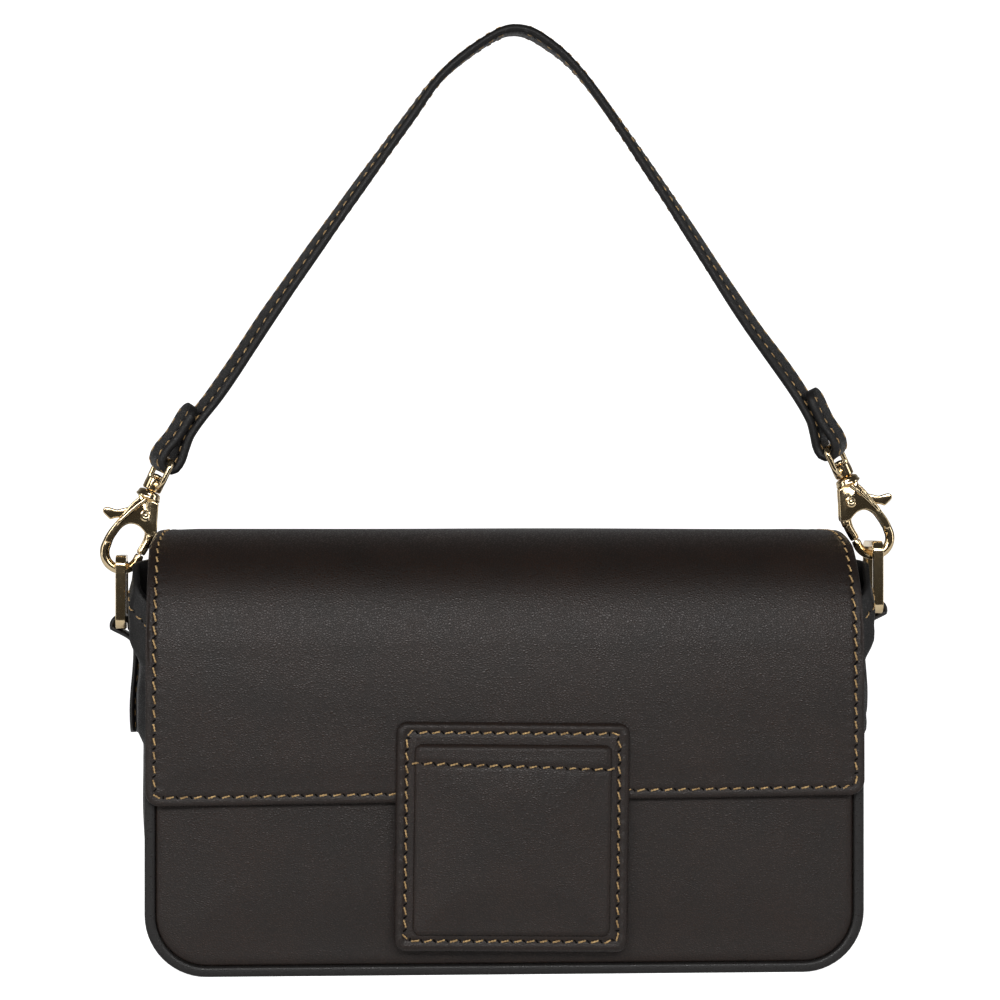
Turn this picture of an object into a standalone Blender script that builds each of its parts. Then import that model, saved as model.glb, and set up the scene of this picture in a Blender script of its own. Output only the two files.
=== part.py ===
"""Flap bag: a small structured leather bag with a flap, a sewn closure tab over a
magnetic snap, and a short strap on two swivel clasps that hook into side rings.

Metres, +Z up, the front faces -Y. X is the width, left in a front view is -X.
The origin is the middle of the whole object's box, on the surface it stands on.
"""

import math

import bmesh
import bpy
from mathutils import Matrix, Vector

# Clearances and fineness
fit_gap = 0.0003
smooth_below = math.radians(35)
bevel_above = math.radians(40)
round_steps = 20
rivet_steps = 16
coil_steps = 10
cut_overrun = 0.0200
weld_distance = 0.00001
arc_step = math.radians(15)
fine_step = math.radians(30)

# Body: seen from the front it is a rounded box that narrows towards its top
body_width = 0.2096
body_shoulder_taper = 0.0012
body_top_taper = 0.0030
body_depth = 0.0600
body_straight_height = 0.0620
body_shoulder_height = 0.1000
back_height = 0.1242
front_height = 0.0930
corner_radius = 0.0180
panel_thickness = 0.0022
gusset_thickness = 0.0020
gusset_bulge = 0.0018
gusset_bulge_start = 0.0150
gusset_bulge_full = 0.0550
gusset_low_fold = 0.0022
gusset_fold_start = 0.0660
gusset_fold_full = 0.0740
gusset_high_fold = 0.0034
gusset_high_fold_start = 0.0960
gusset_high_fold_full = 0.1070
gusset_fold_shares = (0.30, 0.50, 0.74, 0.96)
gusset_station_shares = (
    -1.0, -0.86, -0.72, -0.60, -0.48, -0.36, -0.26, 0.0, 0.26, 0.36, 0.48, 0.60, 0.72, 0.86, 1.0,
)
gusset_side_steps = 6
board_corner_radius = 0.0045
edge_band_width = 0.0030
edge_band_depth = 0.0025
lining_thickness = 0.0008
lining_drop = 0.0015
board_thickness = 0.0016
board_end_gap = 0.0010

# Flap: it drops down the front, turns over a large radius and ends at the back edge
flap_leather_thickness = 0.0016
flap_lining_thickness = 0.0009
flap_side_inset = 0.0002
flap_shoulder_overhang = 0.0007
flap_top_inset = 0.0001
flap_crown_flare = 0.0021
flap_crown_drop = 0.0042
flap_rise = 0.0048
flap_front_radius = 0.0345
flap_back_radius = 0.0040
flap_edge_height = 0.0507
flap_edge_slant = 0.0024
flap_corner_radius = 0.0045
flap_lining_inset = 0.0006
flap_rest_gap = 0.0004
gusset_drop = 0.0035

# Closure tab: a padded square sewn on the flap, hanging below its edge
tab_width = 0.0676
tab_height = 0.0662
tab_thickness = 0.0024
tab_corner_radius = 0.0032
tab_edge_round = 0.0006
tab_centre_x = 0.0013
tab_centre_height = 0.0405
tab_turn = math.radians(-0.7)
pad_width = 0.0565
pad_height = 0.0550
pad_rise = 0.0010
pad_corner_radius = 0.0025
pad_edge_round = 0.0003
pad_offset = 0.0008

# Magnetic snap under the tab
snap_height = 0.0300
snap_radius = 0.0070
snap_socket_thickness = 0.0014
snap_hole_radius = 0.0037
snap_plate_thickness = 0.0012
snap_stud_radius = 0.0024
snap_stud_length = 0.0011
snap_washer_thickness = 0.0006

# Side rings of flat band, hung in leather loops on the gusset
ring_depth = 0.0200
ring_height = 0.0218
ring_band = 0.0031
ring_thickness = 0.0020
ring_corner_radius = 0.0030
ring_edge_round = 0.0003
loop_leather = 0.0014
loop_width = 0.0135
loop_tab_height = 0.0318
loop_bend_height = 0.0052
left_side_drop = 0.0041

# Swivel clasps: the bow is a round arc about the point where the ring hangs
clasp_standoff = 0.0089
clasp_drop = 0.0024
clasp_lean_right = math.radians(24.6)
clasp_lean_left = math.radians(25.2)
bow_radius = 0.0051
bow_wire_radius = 0.0014
bow_ring_drop = 0.0028
bow_root_height = 0.0026
bow_nose_height = 0.0012
hook_length = 0.0180
hook_thickness = 0.0044
hook_edge_round = 0.0005
slot_width = 0.0026
slot_low = 0.0079
slot_high = 0.0166
gate_thickness = 0.0020
gate_edge_round = 0.0003
rivet_place_x = -0.0018
rivet_place_s = 0.0128
rivet_radius = 0.0009
rivet_head_radius = 0.0017
rivet_head_thickness = 0.0005
flange_radius = 0.0037
flange_low = 0.0177
flange_thickness = 0.0024
stem_radius = 0.0011
stem_ball_radius = 0.0019
stem_ball_height = 0.0012
boss_radius = 0.0029
boss_length = 0.0040
bail_wire_radius = 0.0008
bail_height = 0.0083
bail_bar_drop = 0.0018
bail_corner_radius = 0.0020
spring_radius = 0.0008
spring_wire_radius = 0.00015
spring_turns = 3
spring_place_x = 0.0016
spring_length = 0.0017

# Strap: two layers sewn together, folded round the bail at both ends
strap_thickness = 0.0026
strap_width = 0.0123
strap_rise = 0.1495
strap_end_length = 0.0214
fold_slack = 0.00065
fold_shift = 0.00015
strap_end_sway_left = math.radians(5.5)
twist_left = math.radians(18)
twist_right = math.radians(-24)
arch_steps = 44
twist_reach_share = 0.45

# Outlines, as shares of the hook's length: x is outwards, the second value along the clasp
hook_plate_shares = (
    (-0.170, 0.995), (-0.222, 0.930), (-0.385, 0.515), (-0.240, 0.440), (-0.165, 0.474),
    (-0.075, 0.506), (0.022, 0.503), (0.112, 0.455), (0.178, 0.355), (0.212, 0.195),
    (0.222, 0.010), (0.350, 0.010), (0.345, 0.195), (0.306, 0.400), (0.205, 0.800), (0.130, 0.995),
)
gate_shares = (
    (-0.030, 0.808), (0.170, 0.740), (0.262, 0.690), (0.367, 0.602), (0.450, 0.585), (0.537, 0.572),
    (0.578, 0.505), (0.548, 0.455), (0.405, 0.408), (0.372, 0.426), (0.345, 0.468), (0.195, 0.550),
    (0.030, 0.600), (-0.085, 0.575),
    (-0.200, 0.450), (-0.222, 0.300), (-0.213, 0.118), (-0.340, 0.118), (-0.370, 0.330),
    (-0.383, 0.480), (-0.300, 0.665), (-0.200, 0.808),
)
# The strap's folded ends: how far each layer closes in above the bail's bar and how far up, as
# shares of the end's length
strap_main_shares = (
    (0.010, 1.000), (0.035, 0.840), (0.057, 0.678), (0.070, 0.540), (0.073, 0.420), (0.052, 0.304),
    (0.033, 0.210), (0.005, 0.100),
)
strap_tail_shares = (
    (0.000, 0.120), (0.022, 0.230), (0.041, 0.330), (0.048, 0.430), (0.049, 0.540), (0.046, 0.700),
    (0.051, 0.840),
)
# The strap's middle line between its ends: shares of its half span and of its rise, right to left
strap_arch_shares = (
    (0.837, 0.200), (0.545, 0.567), (0.295, 0.860), (0.150, 0.970), (0.048, 1.000),
    (-0.050, 0.968), (-0.199, 0.871), (-0.321, 0.738), (-0.556, 0.469), (-0.773, 0.212),
)

# Places worked out from the sizes above
body_shoulder_width = body_width - 2 * body_shoulder_taper
body_top_width = body_width - 2 * body_top_taper
clasp_spread = body_shoulder_width / 2 + clasp_standoff
flap_width = body_width - 2 * flap_side_inset
flap_shoulder_width = body_shoulder_width + 2 * flap_shoulder_overhang
flap_top_width = body_top_width - 2 * flap_top_inset
flap_crown_width = flap_top_width + 2 * flap_crown_flare
flap_top_height = back_height + flap_rise
clasp_height = flap_top_height - clasp_drop
strap_apex_height = flap_top_height + strap_rise
flap_thickness = flap_leather_thickness + fit_gap + flap_lining_thickness
flap_face = body_depth / 2 + flap_rest_gap + flap_thickness
tab_back = flap_face + fit_gap
pad_face = tab_back + tab_thickness + fit_gap + pad_rise
mid_y = (pad_face - body_depth / 2) / 2
hinge_height = back_height + fit_gap / 2
flap_arc_height = flap_top_height - flap_front_radius
flap_arc_y = flap_front_radius - flap_face
crossbar_s = flange_low + flange_thickness + fit_gap + bail_bar_drop + bail_height
boss_low = flange_low + flange_thickness + fit_gap
bail_half = strap_width / 2 + 2 * fit_gap + bail_wire_radius
fold_radius = bail_wire_radius + fold_slack + strap_thickness / 2

MATERIALS = {
    "leather": ((0.034, 0.025, 0.021), 0.42, 0.0),
    "edge_paint": ((0.012, 0.012, 0.013), 0.38, 0.0),
    "lining": ((0.060, 0.048, 0.040), 0.80, 0.0),
    "board": ((0.250, 0.200, 0.150), 0.85, 0.0),
    "pale_gold": ((0.830, 0.660, 0.400), 0.16, 1.0),
    "steel": ((0.550, 0.550, 0.550), 0.30, 1.0),
}

# A front view outline turned up into the X-Z plane, and a side view one into the Y-Z plane
FRONT = Matrix(((1, 0, 0, 0), (0, 0, -1, 0), (0, 1, 0, 0), (0, 0, 0, 1)))
SIDE = Matrix(((0, 0, 1, 0), (1, 0, 0, 0), (0, 1, 0, 0), (0, 0, 0, 1)))
# What hangs on the flap is placed from the bag's origin, so it steps back from the hinge first
# Each clasp's side, drop, lean, the turn of its bail and the sway of the strap's end
RIGHT_CLASP = (1, 0, clasp_lean_right, twist_right, 0)
LEFT_CLASP = (-1, left_side_drop, clasp_lean_left, twist_left, strap_end_sway_left)
HINGE = Matrix.Translation((0, body_depth / 2, hinge_height))
FROM_HINGE = HINGE.inverted()


def clear_scene():
    for obj in list(bpy.data.objects):
        bpy.data.objects.remove(obj, do_unlink=True)


def make_collection(name):
    collection = bpy.data.collections.new(name)
    bpy.context.scene.collection.children.link(collection)
    return collection


def make_material(name, colour, roughness, metallic):
    material = bpy.data.materials.new(name)
    material.use_nodes = True
    shader = material.node_tree.nodes["Principled BSDF"]
    shader.inputs["Base Color"].default_value = (*colour, 1.0)
    shader.inputs["Roughness"].default_value = roughness
    shader.inputs["Metallic"].default_value = metallic
    material.diffuse_color = (*colour, 1.0)
    return material


def make_empty(name, parent=None, matrix=Matrix()):
    empty = bpy.data.objects.new(name, None)
    PARTS.objects.link(empty)
    empty.parent = parent
    empty.matrix_local = matrix
    return empty


def finish_mesh(bm, name):
    """The mesh of bm, welded, with its faces pointing out."""
    bmesh.ops.remove_doubles(bm, verts=bm.verts, dist=weld_distance)
    bmesh.ops.recalc_face_normals(bm, faces=bm.faces)
    mesh = bpy.data.meshes.new(name)
    bm.to_mesh(mesh)
    bm.free()
    return mesh


def place(mesh, name, kind, parent, matrix=Matrix(), cutter=False):
    """A new object for the mesh, either a part with its material or a hidden cutter."""
    obj = bpy.data.objects.new(name, mesh)
    (CUTTERS if cutter else PARTS).objects.link(obj)
    obj.parent = parent
    obj.matrix_local = matrix
    if cutter:
        obj.hide_render = True
        obj.display_type = "WIRE"
        return obj
    mesh.materials.append(SURFACES[kind])
    mesh.shade_smooth()
    mesh.set_sharp_from_angle(angle=smooth_below)
    return obj


def curve_mesh(curve, name):
    """The mesh that a curve makes, with its caps welded on."""
    holder = bpy.data.objects.new(name, curve)
    CUTTERS.objects.link(holder)
    bpy.context.view_layer.update()
    graph = bpy.context.evaluated_depsgraph_get()
    mesh = bpy.data.meshes.new_from_object(holder.evaluated_get(graph))
    bpy.data.objects.remove(holder)
    bm = bmesh.new()
    bm.from_mesh(mesh)
    return finish_mesh(bm, name)


def prism(name, loops, thickness):
    """A flat outline, with any holes, given a thickness about its own plane."""
    curve = bpy.data.curves.new(name, "CURVE")
    curve.dimensions = "2D"
    curve.fill_mode = "BOTH"
    curve.extrude = thickness / 2
    for loop in loops:
        spline = curve.splines.new("POLY")
        spline.points.add(len(loop) - 1)
        for point, (x, y) in zip(spline.points, loop):
            point.co = (x, y, 0, 1)
        spline.use_cyclic_u = True
    return curve_mesh(curve, name)


def tube(name, points, radius, closed=False, sides=2):
    """A round wire along the points."""
    curve = bpy.data.curves.new(name, "CURVE")
    curve.dimensions = "3D"
    curve.bevel_depth = radius
    curve.bevel_resolution = sides
    curve.use_fill_caps = not closed
    spline = curve.splines.new("POLY")
    spline.points.add(len(points) - 1)
    for point, place_at in zip(spline.points, points):
        point.co = (*place_at, 1)
    spline.use_cyclic_u = closed
    return curve_mesh(curve, name)


def turned(name, profile, steps=round_steps):
    """A solid turned about Z. The profile runs from the top on the axis to the bottom on it."""
    bm = bmesh.new()
    verts = [bm.verts.new((radius, 0, height)) for radius, height in profile]
    for first, second in zip(verts, verts[1:]):
        bm.edges.new((first, second))
    bmesh.ops.spin(
        bm, geom=bm.verts[:] + bm.edges[:], cent=(0, 0, 0), axis=(0, 0, 1),
        angle=math.tau, steps=steps, use_merge=False,
    )
    return finish_mesh(bm, name)


def add_solidify(obj, thickness, offset=0.0):
    modifier = obj.modifiers.new("Thickness", "SOLIDIFY")
    modifier.thickness = thickness
    modifier.offset = offset
    modifier.use_even_offset = True


def add_bevel(obj, width, segments=1):
    modifier = obj.modifiers.new("Rounded edges", "BEVEL")
    modifier.width = width
    modifier.segments = segments
    modifier.limit_method = "ANGLE"
    modifier.angle_limit = bevel_above


def add_boolean(obj, other, operation):
    modifier = obj.modifiers.new(other.name, "BOOLEAN")
    modifier.operation = operation
    modifier.object = other


def place_strip(name, path, thickness, width, kind, parent, matrix):
    """A strip of leather seen edge-on: the path is the middle of its thickness."""
    bm = bmesh.new()
    rows = [
        [bm.verts.new((x, y, side * width / 2)) for side in (-1, 1)] for x, y in path
    ]
    for (a, b), (c, d) in zip(rows, rows[1:]):
        bm.faces.new((a, b, d, c))
    obj = place(finish_mesh(bm, name), name, kind, parent, matrix)
    add_solidify(obj, thickness)
    return obj


def arc(centre_x, centre_y, radius, start, end, step=arc_step):
    """Points on an arc, ends included."""
    count = max(1, math.ceil(abs(end - start) / step))
    angles = [start + (end - start) * k / count for k in range(count + 1)]
    return [
        (centre_x + radius * math.cos(angle), centre_y + radius * math.sin(angle))
        for angle in angles
    ]


def tangent_angle(centre, radius, point, turn):
    """The angle on a circle at which a straight line to the point leaves it."""
    x, y = point[0] - centre[0], point[1] - centre[1]
    return math.atan2(y, x) + turn * math.acos(radius / math.hypot(x, y))


def rounded_box(width, height, radius, step=arc_step):
    points = []
    for quarter, (sx, sy) in enumerate(((1, 1), (-1, 1), (-1, -1), (1, -1))):
        points += arc(
            sx * (width / 2 - radius), sy * (height / 2 - radius), radius,
            quarter * math.pi / 2, (quarter + 1) * math.pi / 2, step,
        )
    return points


def circle(x, y, radius):
    return arc(x, y, radius, 0, math.tau, fine_step)[:-1]


def smooth_step(value):
    value = min(1.0, max(0.0, value))
    return value * value * (3 - 2 * value)


def half_width(height):
    """Half the body's width at a height above the corners."""
    low, middle, high = body_straight_height, body_shoulder_height, back_height
    if height <= low:
        return body_width / 2
    if height <= middle:
        share = (height - low) / (middle - low)
        return (body_width + (body_shoulder_width - body_width) * share) / 2
    share = (height - middle) / (high - middle)
    return (body_shoulder_width + (body_top_width - body_shoulder_width) * share) / 2


def body_outline(inset, floor, top):
    """The body's U seen from the front, from its left top down and up to its right top."""
    radius = corner_radius - inset
    side_heights = [top]
    side_heights += [h for h in (body_shoulder_height, body_straight_height) if h < top - corner_radius / 2]
    side = [(half_width(height) - inset, height) for height in side_heights]
    corner = arc(body_width / 2 - corner_radius, floor + radius, radius, 0, -math.pi / 2)
    right = side + corner
    left = [(-x, z) for x, z in right]
    return left + right[::-1]


def bulge_at(height, y, half_depth):
    """How far the gusset stands out beyond the flat side, with the fold before the loop."""
    share = abs(y) / half_depth
    grow = smooth_step((height - gusset_bulge_start) / (gusset_bulge_full - gusset_bulge_start))
    bulge = gusset_bulge * grow * (1 - share ** 2)
    low, rise, fall, high = gusset_fold_shares
    fold = smooth_step((share - low) / (rise - low)) * smooth_step((high - share) / (high - fall))
    grow = smooth_step((height - gusset_fold_start) / (gusset_fold_full - gusset_fold_start))
    reach = gusset_low_fold * grow
    grow = smooth_step((height - gusset_high_fold_start) / (gusset_high_fold_full - gusset_high_fold_start))
    reach += gusset_high_fold * grow
    return bulge + (reach * fold if y < 0 else 0)


def under_flap(drop):
    """The space above a line that runs the drop below the flap's inner face, seen from the side."""
    radius = flap_front_radius - flap_thickness - drop
    high = flap_top_height + cut_overrun
    reach = body_depth / 2 + cut_overrun
    line = [(-reach, front_height - drop)]
    first = math.acos(min(1.0, (body_depth / 2 + flap_arc_y) / radius))
    line += arc(flap_arc_y, flap_arc_height, radius, math.pi - first, math.pi / 2)
    line += [(reach, flap_arc_height + radius)]
    return line + [(reach, high), (-reach, high)]


def above_cutter(name, drop):
    mesh = prism(name, [under_flap(drop)], body_width + cut_overrun)
    return place(mesh, name, None, BAG, SIDE, cutter=True)


def at_y(y, matrix=FRONT):
    return Matrix.Translation((0, y, 0)) @ matrix


def make_body():
    """Panels, edge bands, gusset, lining and base board."""
    front, back = -body_depth / 2, body_depth / 2
    inset = edge_band_width + fit_gap
    for side, label, top in ((-1, "front", front_height), (1, "back", back_height)):
        outer = body_outline(0, 0, top)
        band = [outer + body_outline(edge_band_width, edge_band_width, top)[::-1]]
        middle = side * (body_depth - edge_band_depth) / 2
        place(prism(f"{label}_edge_band", band, edge_band_depth), f"{label}_edge_band",
              "edge_paint", BAG, at_y(middle))
        panel = [body_outline(inset, inset, top)]
        middle = side * (body_depth - panel_thickness) / 2
        place(prism(f"{label}_panel", panel, panel_thickness), f"{label}_panel",
              "leather", BAG, at_y(middle))
    make_gusset()
    make_lining(front, back)
    board = rounded_box(
        body_width - 2 * (corner_radius + board_end_gap),
        body_depth - 2 * (edge_band_depth + 2 * fit_gap), board_corner_radius,
    )
    place(prism("base_board", [board], board_thickness), "base_board", "board", BAG,
          Matrix.Translation((0, 0, gusset_thickness + fit_gap + board_thickness / 2)))


def make_gusset():
    half = body_depth / 2 - edge_band_depth - fit_gap
    bm = bmesh.new()
    outline = body_outline(0, 0, back_height)
    outline = add_side_points(outline)
    stations = [half * share for share in gusset_station_shares]
    rows = []
    for x, z in outline:
        row = []
        for y in stations:
            out = math.copysign(bulge_at(z, y, half), x)
            row.append(bm.verts.new((x + out, y, z)))
        rows.append(row)
    for first, second in zip(rows, rows[1:]):
        for k in range(len(stations) - 1):
            bm.faces.new((first[k], first[k + 1], second[k + 1], second[k]))
    bmesh.ops.recalc_face_normals(bm, faces=bm.faces)
    mesh = finish_mesh(bm, "gusset")
    centre_face = min(mesh.polygons, key=lambda face: abs(face.center.x) + face.center.z)
    inward = centre_face.normal.z > 0
    obj = place(mesh, "gusset", "leather", BAG)
    add_solidify(obj, gusset_thickness, 1.0 if inward else -1.0)
    add_boolean(obj, above_cutter("above_gusset", gusset_drop), "DIFFERENCE")


def add_side_points(outline):
    """The outline with extra points on its long sides, where the gusset curves."""
    points = [outline[0]]
    for (x0, z0), (x1, z1) in zip(outline, outline[1:]):
        upright = abs(z1 - z0) > corner_radius and abs(x1 - x0) < corner_radius
        count = gusset_side_steps if upright else 1
        points += [
            (x0 + (x1 - x0) * k / count, z0 + (z1 - z0) * k / count)
            for k in range(1, count + 1)
        ]
    return points


def make_lining(front, back):
    outer_front = front + panel_thickness + 2 * fit_gap + snap_washer_thickness
    outer_back = back - panel_thickness - fit_gap
    inset = gusset_thickness + fit_gap
    floor = inset + board_thickness + fit_gap
    depth = outer_back - outer_front
    middle = (outer_back + outer_front) / 2
    shell = place(prism("lining", [body_outline(inset, floor, back_height)], depth),
                  "lining", "lining", BAG, at_y(middle))
    inset += lining_thickness
    floor += lining_thickness
    hollow = prism("lining_hollow", [body_outline(inset, floor, back_height + cut_overrun)],
                   depth - 2 * lining_thickness)
    hollow = place(hollow, "lining_hollow", None, BAG, at_y(middle), cutter=True)
    add_boolean(shell, hollow, "DIFFERENCE")
    add_boolean(shell, above_cutter("above_lining", gusset_drop + lining_drop), "DIFFERENCE")


def make_snap():
    """The socket on the front panel, its washer inside, and the stud on the tab's back."""
    face = -body_depth / 2
    at = (tab_centre_x, snap_height)
    socket = [circle(*at, snap_radius), circle(*at, snap_hole_radius)]
    place(prism("snap_socket", socket, snap_socket_thickness), "snap_socket", "pale_gold", BAG,
          at_y(face - fit_gap - snap_socket_thickness / 2))
    washer = [circle(*at, snap_radius), circle(*at, snap_stud_radius)]
    place(prism("snap_socket_washer", washer, snap_washer_thickness), "snap_socket_washer", "steel",
          BAG, at_y(face + panel_thickness + fit_gap + snap_washer_thickness / 2))
    top = snap_plate_thickness
    profile = [(0, top), (snap_radius, top), (snap_radius, 0), (snap_stud_radius, 0),
               (snap_stud_radius, -snap_stud_length), (0, -snap_stud_length)]
    where = Matrix.Translation((tab_centre_x, -tab_back + fit_gap + snap_plate_thickness, snap_height))
    place(turned("snap_stud", profile), "snap_stud", "pale_gold", FLAP, FROM_HINGE @ where @ FRONT)


def flap_path(offset):
    """The flap's section, the offset in from its outer face, from the front edge to the back."""
    y_front = -flap_face + offset
    radius = flap_front_radius - offset
    path = [(y_front, flap_edge_height - cut_overrun), (y_front, flap_arc_height)]
    path += arc(flap_arc_y, flap_arc_height, radius, math.pi, math.pi / 2)[1:]
    back = body_depth / 2 - flap_back_radius
    path += arc(back, flap_top_height - flap_back_radius, flap_back_radius - offset, math.pi / 2, 0)
    path.append((body_depth / 2 - offset, hinge_height + fit_gap / 2))
    return path


def flap_outline(inset):
    """The flap flattened into a front view, its bottom edge lower on the left."""
    high = flap_top_height + cut_overrun
    crown_height = flap_top_height - flap_crown_drop
    top = flap_top_width / 2 - inset
    crown = flap_crown_width / 2 - inset
    shoulder = flap_shoulder_width / 2 - inset
    side = flap_width / 2 - inset
    radius = flap_corner_radius
    low_right = flap_edge_height + flap_edge_slant / 2 + inset
    low_left = flap_edge_height - flap_edge_slant / 2 + inset
    points = [(top, high), (top, flap_top_height), (crown, crown_height), (shoulder, body_shoulder_height)]
    points += arc(side - radius, low_right + radius, radius, 0, -math.pi / 2)
    points += arc(radius - side, low_left + radius, radius, -math.pi / 2, -math.pi)
    points += [(-shoulder, body_shoulder_height), (-crown, crown_height)]
    points += [(-top, flap_top_height), (-top, high)]
    return points


def make_flap():
    layers = (
        ("flap_leather", "leather", flap_leather_thickness, 0, 0),
        ("flap_lining", "lining", flap_lining_thickness, flap_thickness - flap_lining_thickness,
         flap_lining_inset),
    )
    for name, kind, thickness, start, inset in layers:
        path = flap_path(start + thickness / 2)
        obj = place_strip(name, path, thickness, flap_width + cut_overrun, kind, FLAP, FROM_HINGE @ SIDE)
        keep = prism(f"{name}_outline", [flap_outline(inset)], 2 * body_depth)
        keep = place(keep, f"{name}_outline", None, FLAP, FROM_HINGE @ FRONT, cutter=True)
        add_boolean(obj, keep, "INTERSECT")
    turn = Matrix.Rotation(-tab_turn, 4, "Y")
    centre = FROM_HINGE @ Matrix.Translation(
        (tab_centre_x, -tab_back - tab_thickness / 2, tab_centre_height)
    )
    square = rounded_box(tab_width, tab_height, tab_corner_radius)
    tab = place(prism("closure_tab", [square], tab_thickness), "closure_tab", "leather", FLAP,
                centre @ turn @ FRONT)
    add_bevel(tab, tab_edge_round)
    centre = FROM_HINGE @ Matrix.Translation(
        (tab_centre_x, -pad_face + pad_rise / 2, tab_centre_height - pad_offset)
    )
    square = rounded_box(pad_width, pad_height, pad_corner_radius)
    pad = place(prism("closure_tab_panel", [square], pad_rise), "closure_tab_panel", "leather", FLAP,
                centre @ turn @ FRONT)
    add_bevel(pad, pad_edge_round)


def make_side(side, label, drop):
    """The leather loop and the ring on one side of the bag."""
    bar_low = clasp_height - drop - bow_ring_drop
    ring_top = bar_low + ring_thickness
    ring_middle = ring_top - ring_height / 2
    bar_height = ring_top - ring_height + ring_thickness / 2
    ring = [rounded_box(ring_depth, ring_height, ring_corner_radius, fine_step),
            rounded_box(ring_depth - 2 * ring_thickness, ring_height - 2 * ring_thickness,
                        ring_corner_radius - ring_thickness, fine_step)]
    pivot = make_empty(f"ring_{label}_pivot", BAG, Matrix.Translation((side * clasp_spread, 0, bar_height)))
    obj = place(prism(f"ring_{label}", ring, ring_band), f"ring_{label}", "pale_gold", pivot,
                Matrix.Translation((0, 0, ring_middle - bar_height)) @ SIDE)
    add_bevel(obj, ring_edge_round)
    radius = math.hypot(ring_band, ring_thickness) / 2 + fit_gap + loop_leather / 2
    bottom = bar_height - loop_tab_height
    bend = bar_height - loop_bend_height
    lean = half_width(bend) - half_width(bottom)
    inner = half_width(bottom) + gusset_bulge + fit_gap + loop_leather / 2
    outer = inner + loop_leather + fit_gap
    centre = (clasp_spread, bar_height)
    leave_inner = tangent_angle(centre, radius, (inner + lean, bend), -1) + math.tau
    leave_outer = tangent_angle(centre, radius, (outer + lean, bend), 1)
    path = [(inner, bottom), (inner + lean, bend)]
    path += arc(*centre, radius, leave_inner, leave_outer)
    path += [(outer + lean, bend), (outer, bottom)]
    path = [(side * x, z) for x, z in path]
    place_strip(f"ring_loop_{label}", path, loop_leather, loop_width, "leather", BAG, FRONT)


def scaled(shares, size, side):
    return [(side * x * size, s * size) for x, s in shares]


def make_clasp(label, side, drop, lean, twist, sway):
    """One swivel clasp: x is outwards and z runs up the clasp, from the bow's centre."""
    lean = Matrix.Rotation(-side * lean, 4, "Y")
    at = Matrix.Translation((side * clasp_spread, 0, clasp_height - drop))
    clasp = make_empty(f"clasp_{label}_pivot", BAG, at @ lean)
    hook = make_empty(f"hook_{label}_swivel", clasp)
    bail = make_empty(f"bail_{label}_turn", clasp, Matrix.Rotation(twist, 4, "Z"))
    rivet_at = Matrix.Translation((side * rivet_place_x, 0, rivet_place_s))
    gate = make_empty(f"gate_{label}_pivot", hook, rivet_at)
    make_hook(side, label, hook, rivet_at)
    make_gate(side, label, gate, rivet_at)
    make_bail(label, bail)
    make_strap_end(side, label, bail, sway)


def make_hook(side, label, parent, rivet_at):
    plate = prism(f"hook_{label}", [scaled(hook_plate_shares, hook_length, side)], hook_thickness)
    obj = place(plate, f"hook_{label}", "pale_gold", parent, FRONT)
    add_bevel(obj, hook_edge_round)
    path = [(bow_radius, bow_root_height)] + arc(0, 0, bow_radius, 0, -math.pi)
    path.append((-bow_radius, bow_nose_height))
    bow = tube(f"hook_bow_{label}", [(side * x, 0, s) for x, s in path], bow_wire_radius)
    add_boolean(obj, place(bow, f"hook_bow_{label}", None, parent, cutter=True), "UNION")
    stem_top = boss_low + boss_length + fit_gap
    ball_top = stem_top + stem_ball_height
    profile = [(0, ball_top), (stem_ball_radius / 2, ball_top),
               (stem_ball_radius, stem_top + stem_ball_height / 2), (stem_ball_radius, stem_top),
               (stem_radius, stem_top), (stem_radius, flange_low + flange_thickness),
               (flange_radius, flange_low + flange_thickness), (flange_radius, flange_low),
               (stem_ball_radius, flange_low - 2 * hook_edge_round), (0, flange_low - 2 * hook_edge_round)]
    stem = place(turned(f"hook_stem_{label}", profile), f"hook_stem_{label}", None, parent, cutter=True)
    add_boolean(obj, stem, "UNION")
    middle = (slot_low + slot_high) / 2
    slot = rounded_box(2 * hook_length, slot_high - slot_low, hook_edge_round, fine_step)
    slot = prism(f"hook_slot_{label}", [slot], slot_width)
    slot_at = Matrix.Translation((0, 0, middle)) @ FRONT
    slot = place(slot, f"hook_slot_{label}", None, parent, slot_at, cutter=True)
    add_boolean(obj, slot, "DIFFERENCE")
    hole = prism(f"hook_hole_{label}", [circle(0, 0, rivet_radius + fit_gap)], 2 * hook_thickness)
    hole = place(hole, f"hook_hole_{label}", None, parent, rivet_at @ FRONT, cutter=True)
    add_boolean(obj, hole, "DIFFERENCE")
    head = hook_thickness / 2 + fit_gap
    tip = head + rivet_head_thickness
    profile = [(0, tip), (rivet_head_radius, tip), (rivet_head_radius, head), (rivet_radius, head),
               (rivet_radius, -head), (rivet_head_radius, -head), (rivet_head_radius, -tip), (0, -tip)]
    place(turned(f"gate_rivet_{label}", profile, rivet_steps), f"gate_rivet_{label}", "pale_gold", parent,
          rivet_at @ FRONT)
    low = slot_high - fit_gap - spring_length
    count = spring_turns * coil_steps
    coil = [
        (side * spring_place_x + spring_radius * math.cos(math.tau * k / coil_steps),
         spring_radius * math.sin(math.tau * k / coil_steps),
         low + spring_wire_radius + (spring_length - 2 * spring_wire_radius) * k / count)
        for k in range(count + 1)
    ]
    wire = tube(f"gate_spring_{label}", coil, spring_wire_radius, sides=1)
    place(wire, f"gate_spring_{label}", "steel", parent)


def make_gate(side, label, parent, rivet_at):
    outline = scaled(gate_shares, hook_length, side)
    hole = circle(side * rivet_place_x, rivet_place_s, rivet_radius + fit_gap)
    mesh = prism(f"gate_{label}", [outline, hole], gate_thickness)
    obj = place(mesh, f"gate_{label}", "pale_gold", parent, rivet_at.inverted() @ FRONT)
    add_bevel(obj, gate_edge_round)


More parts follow.
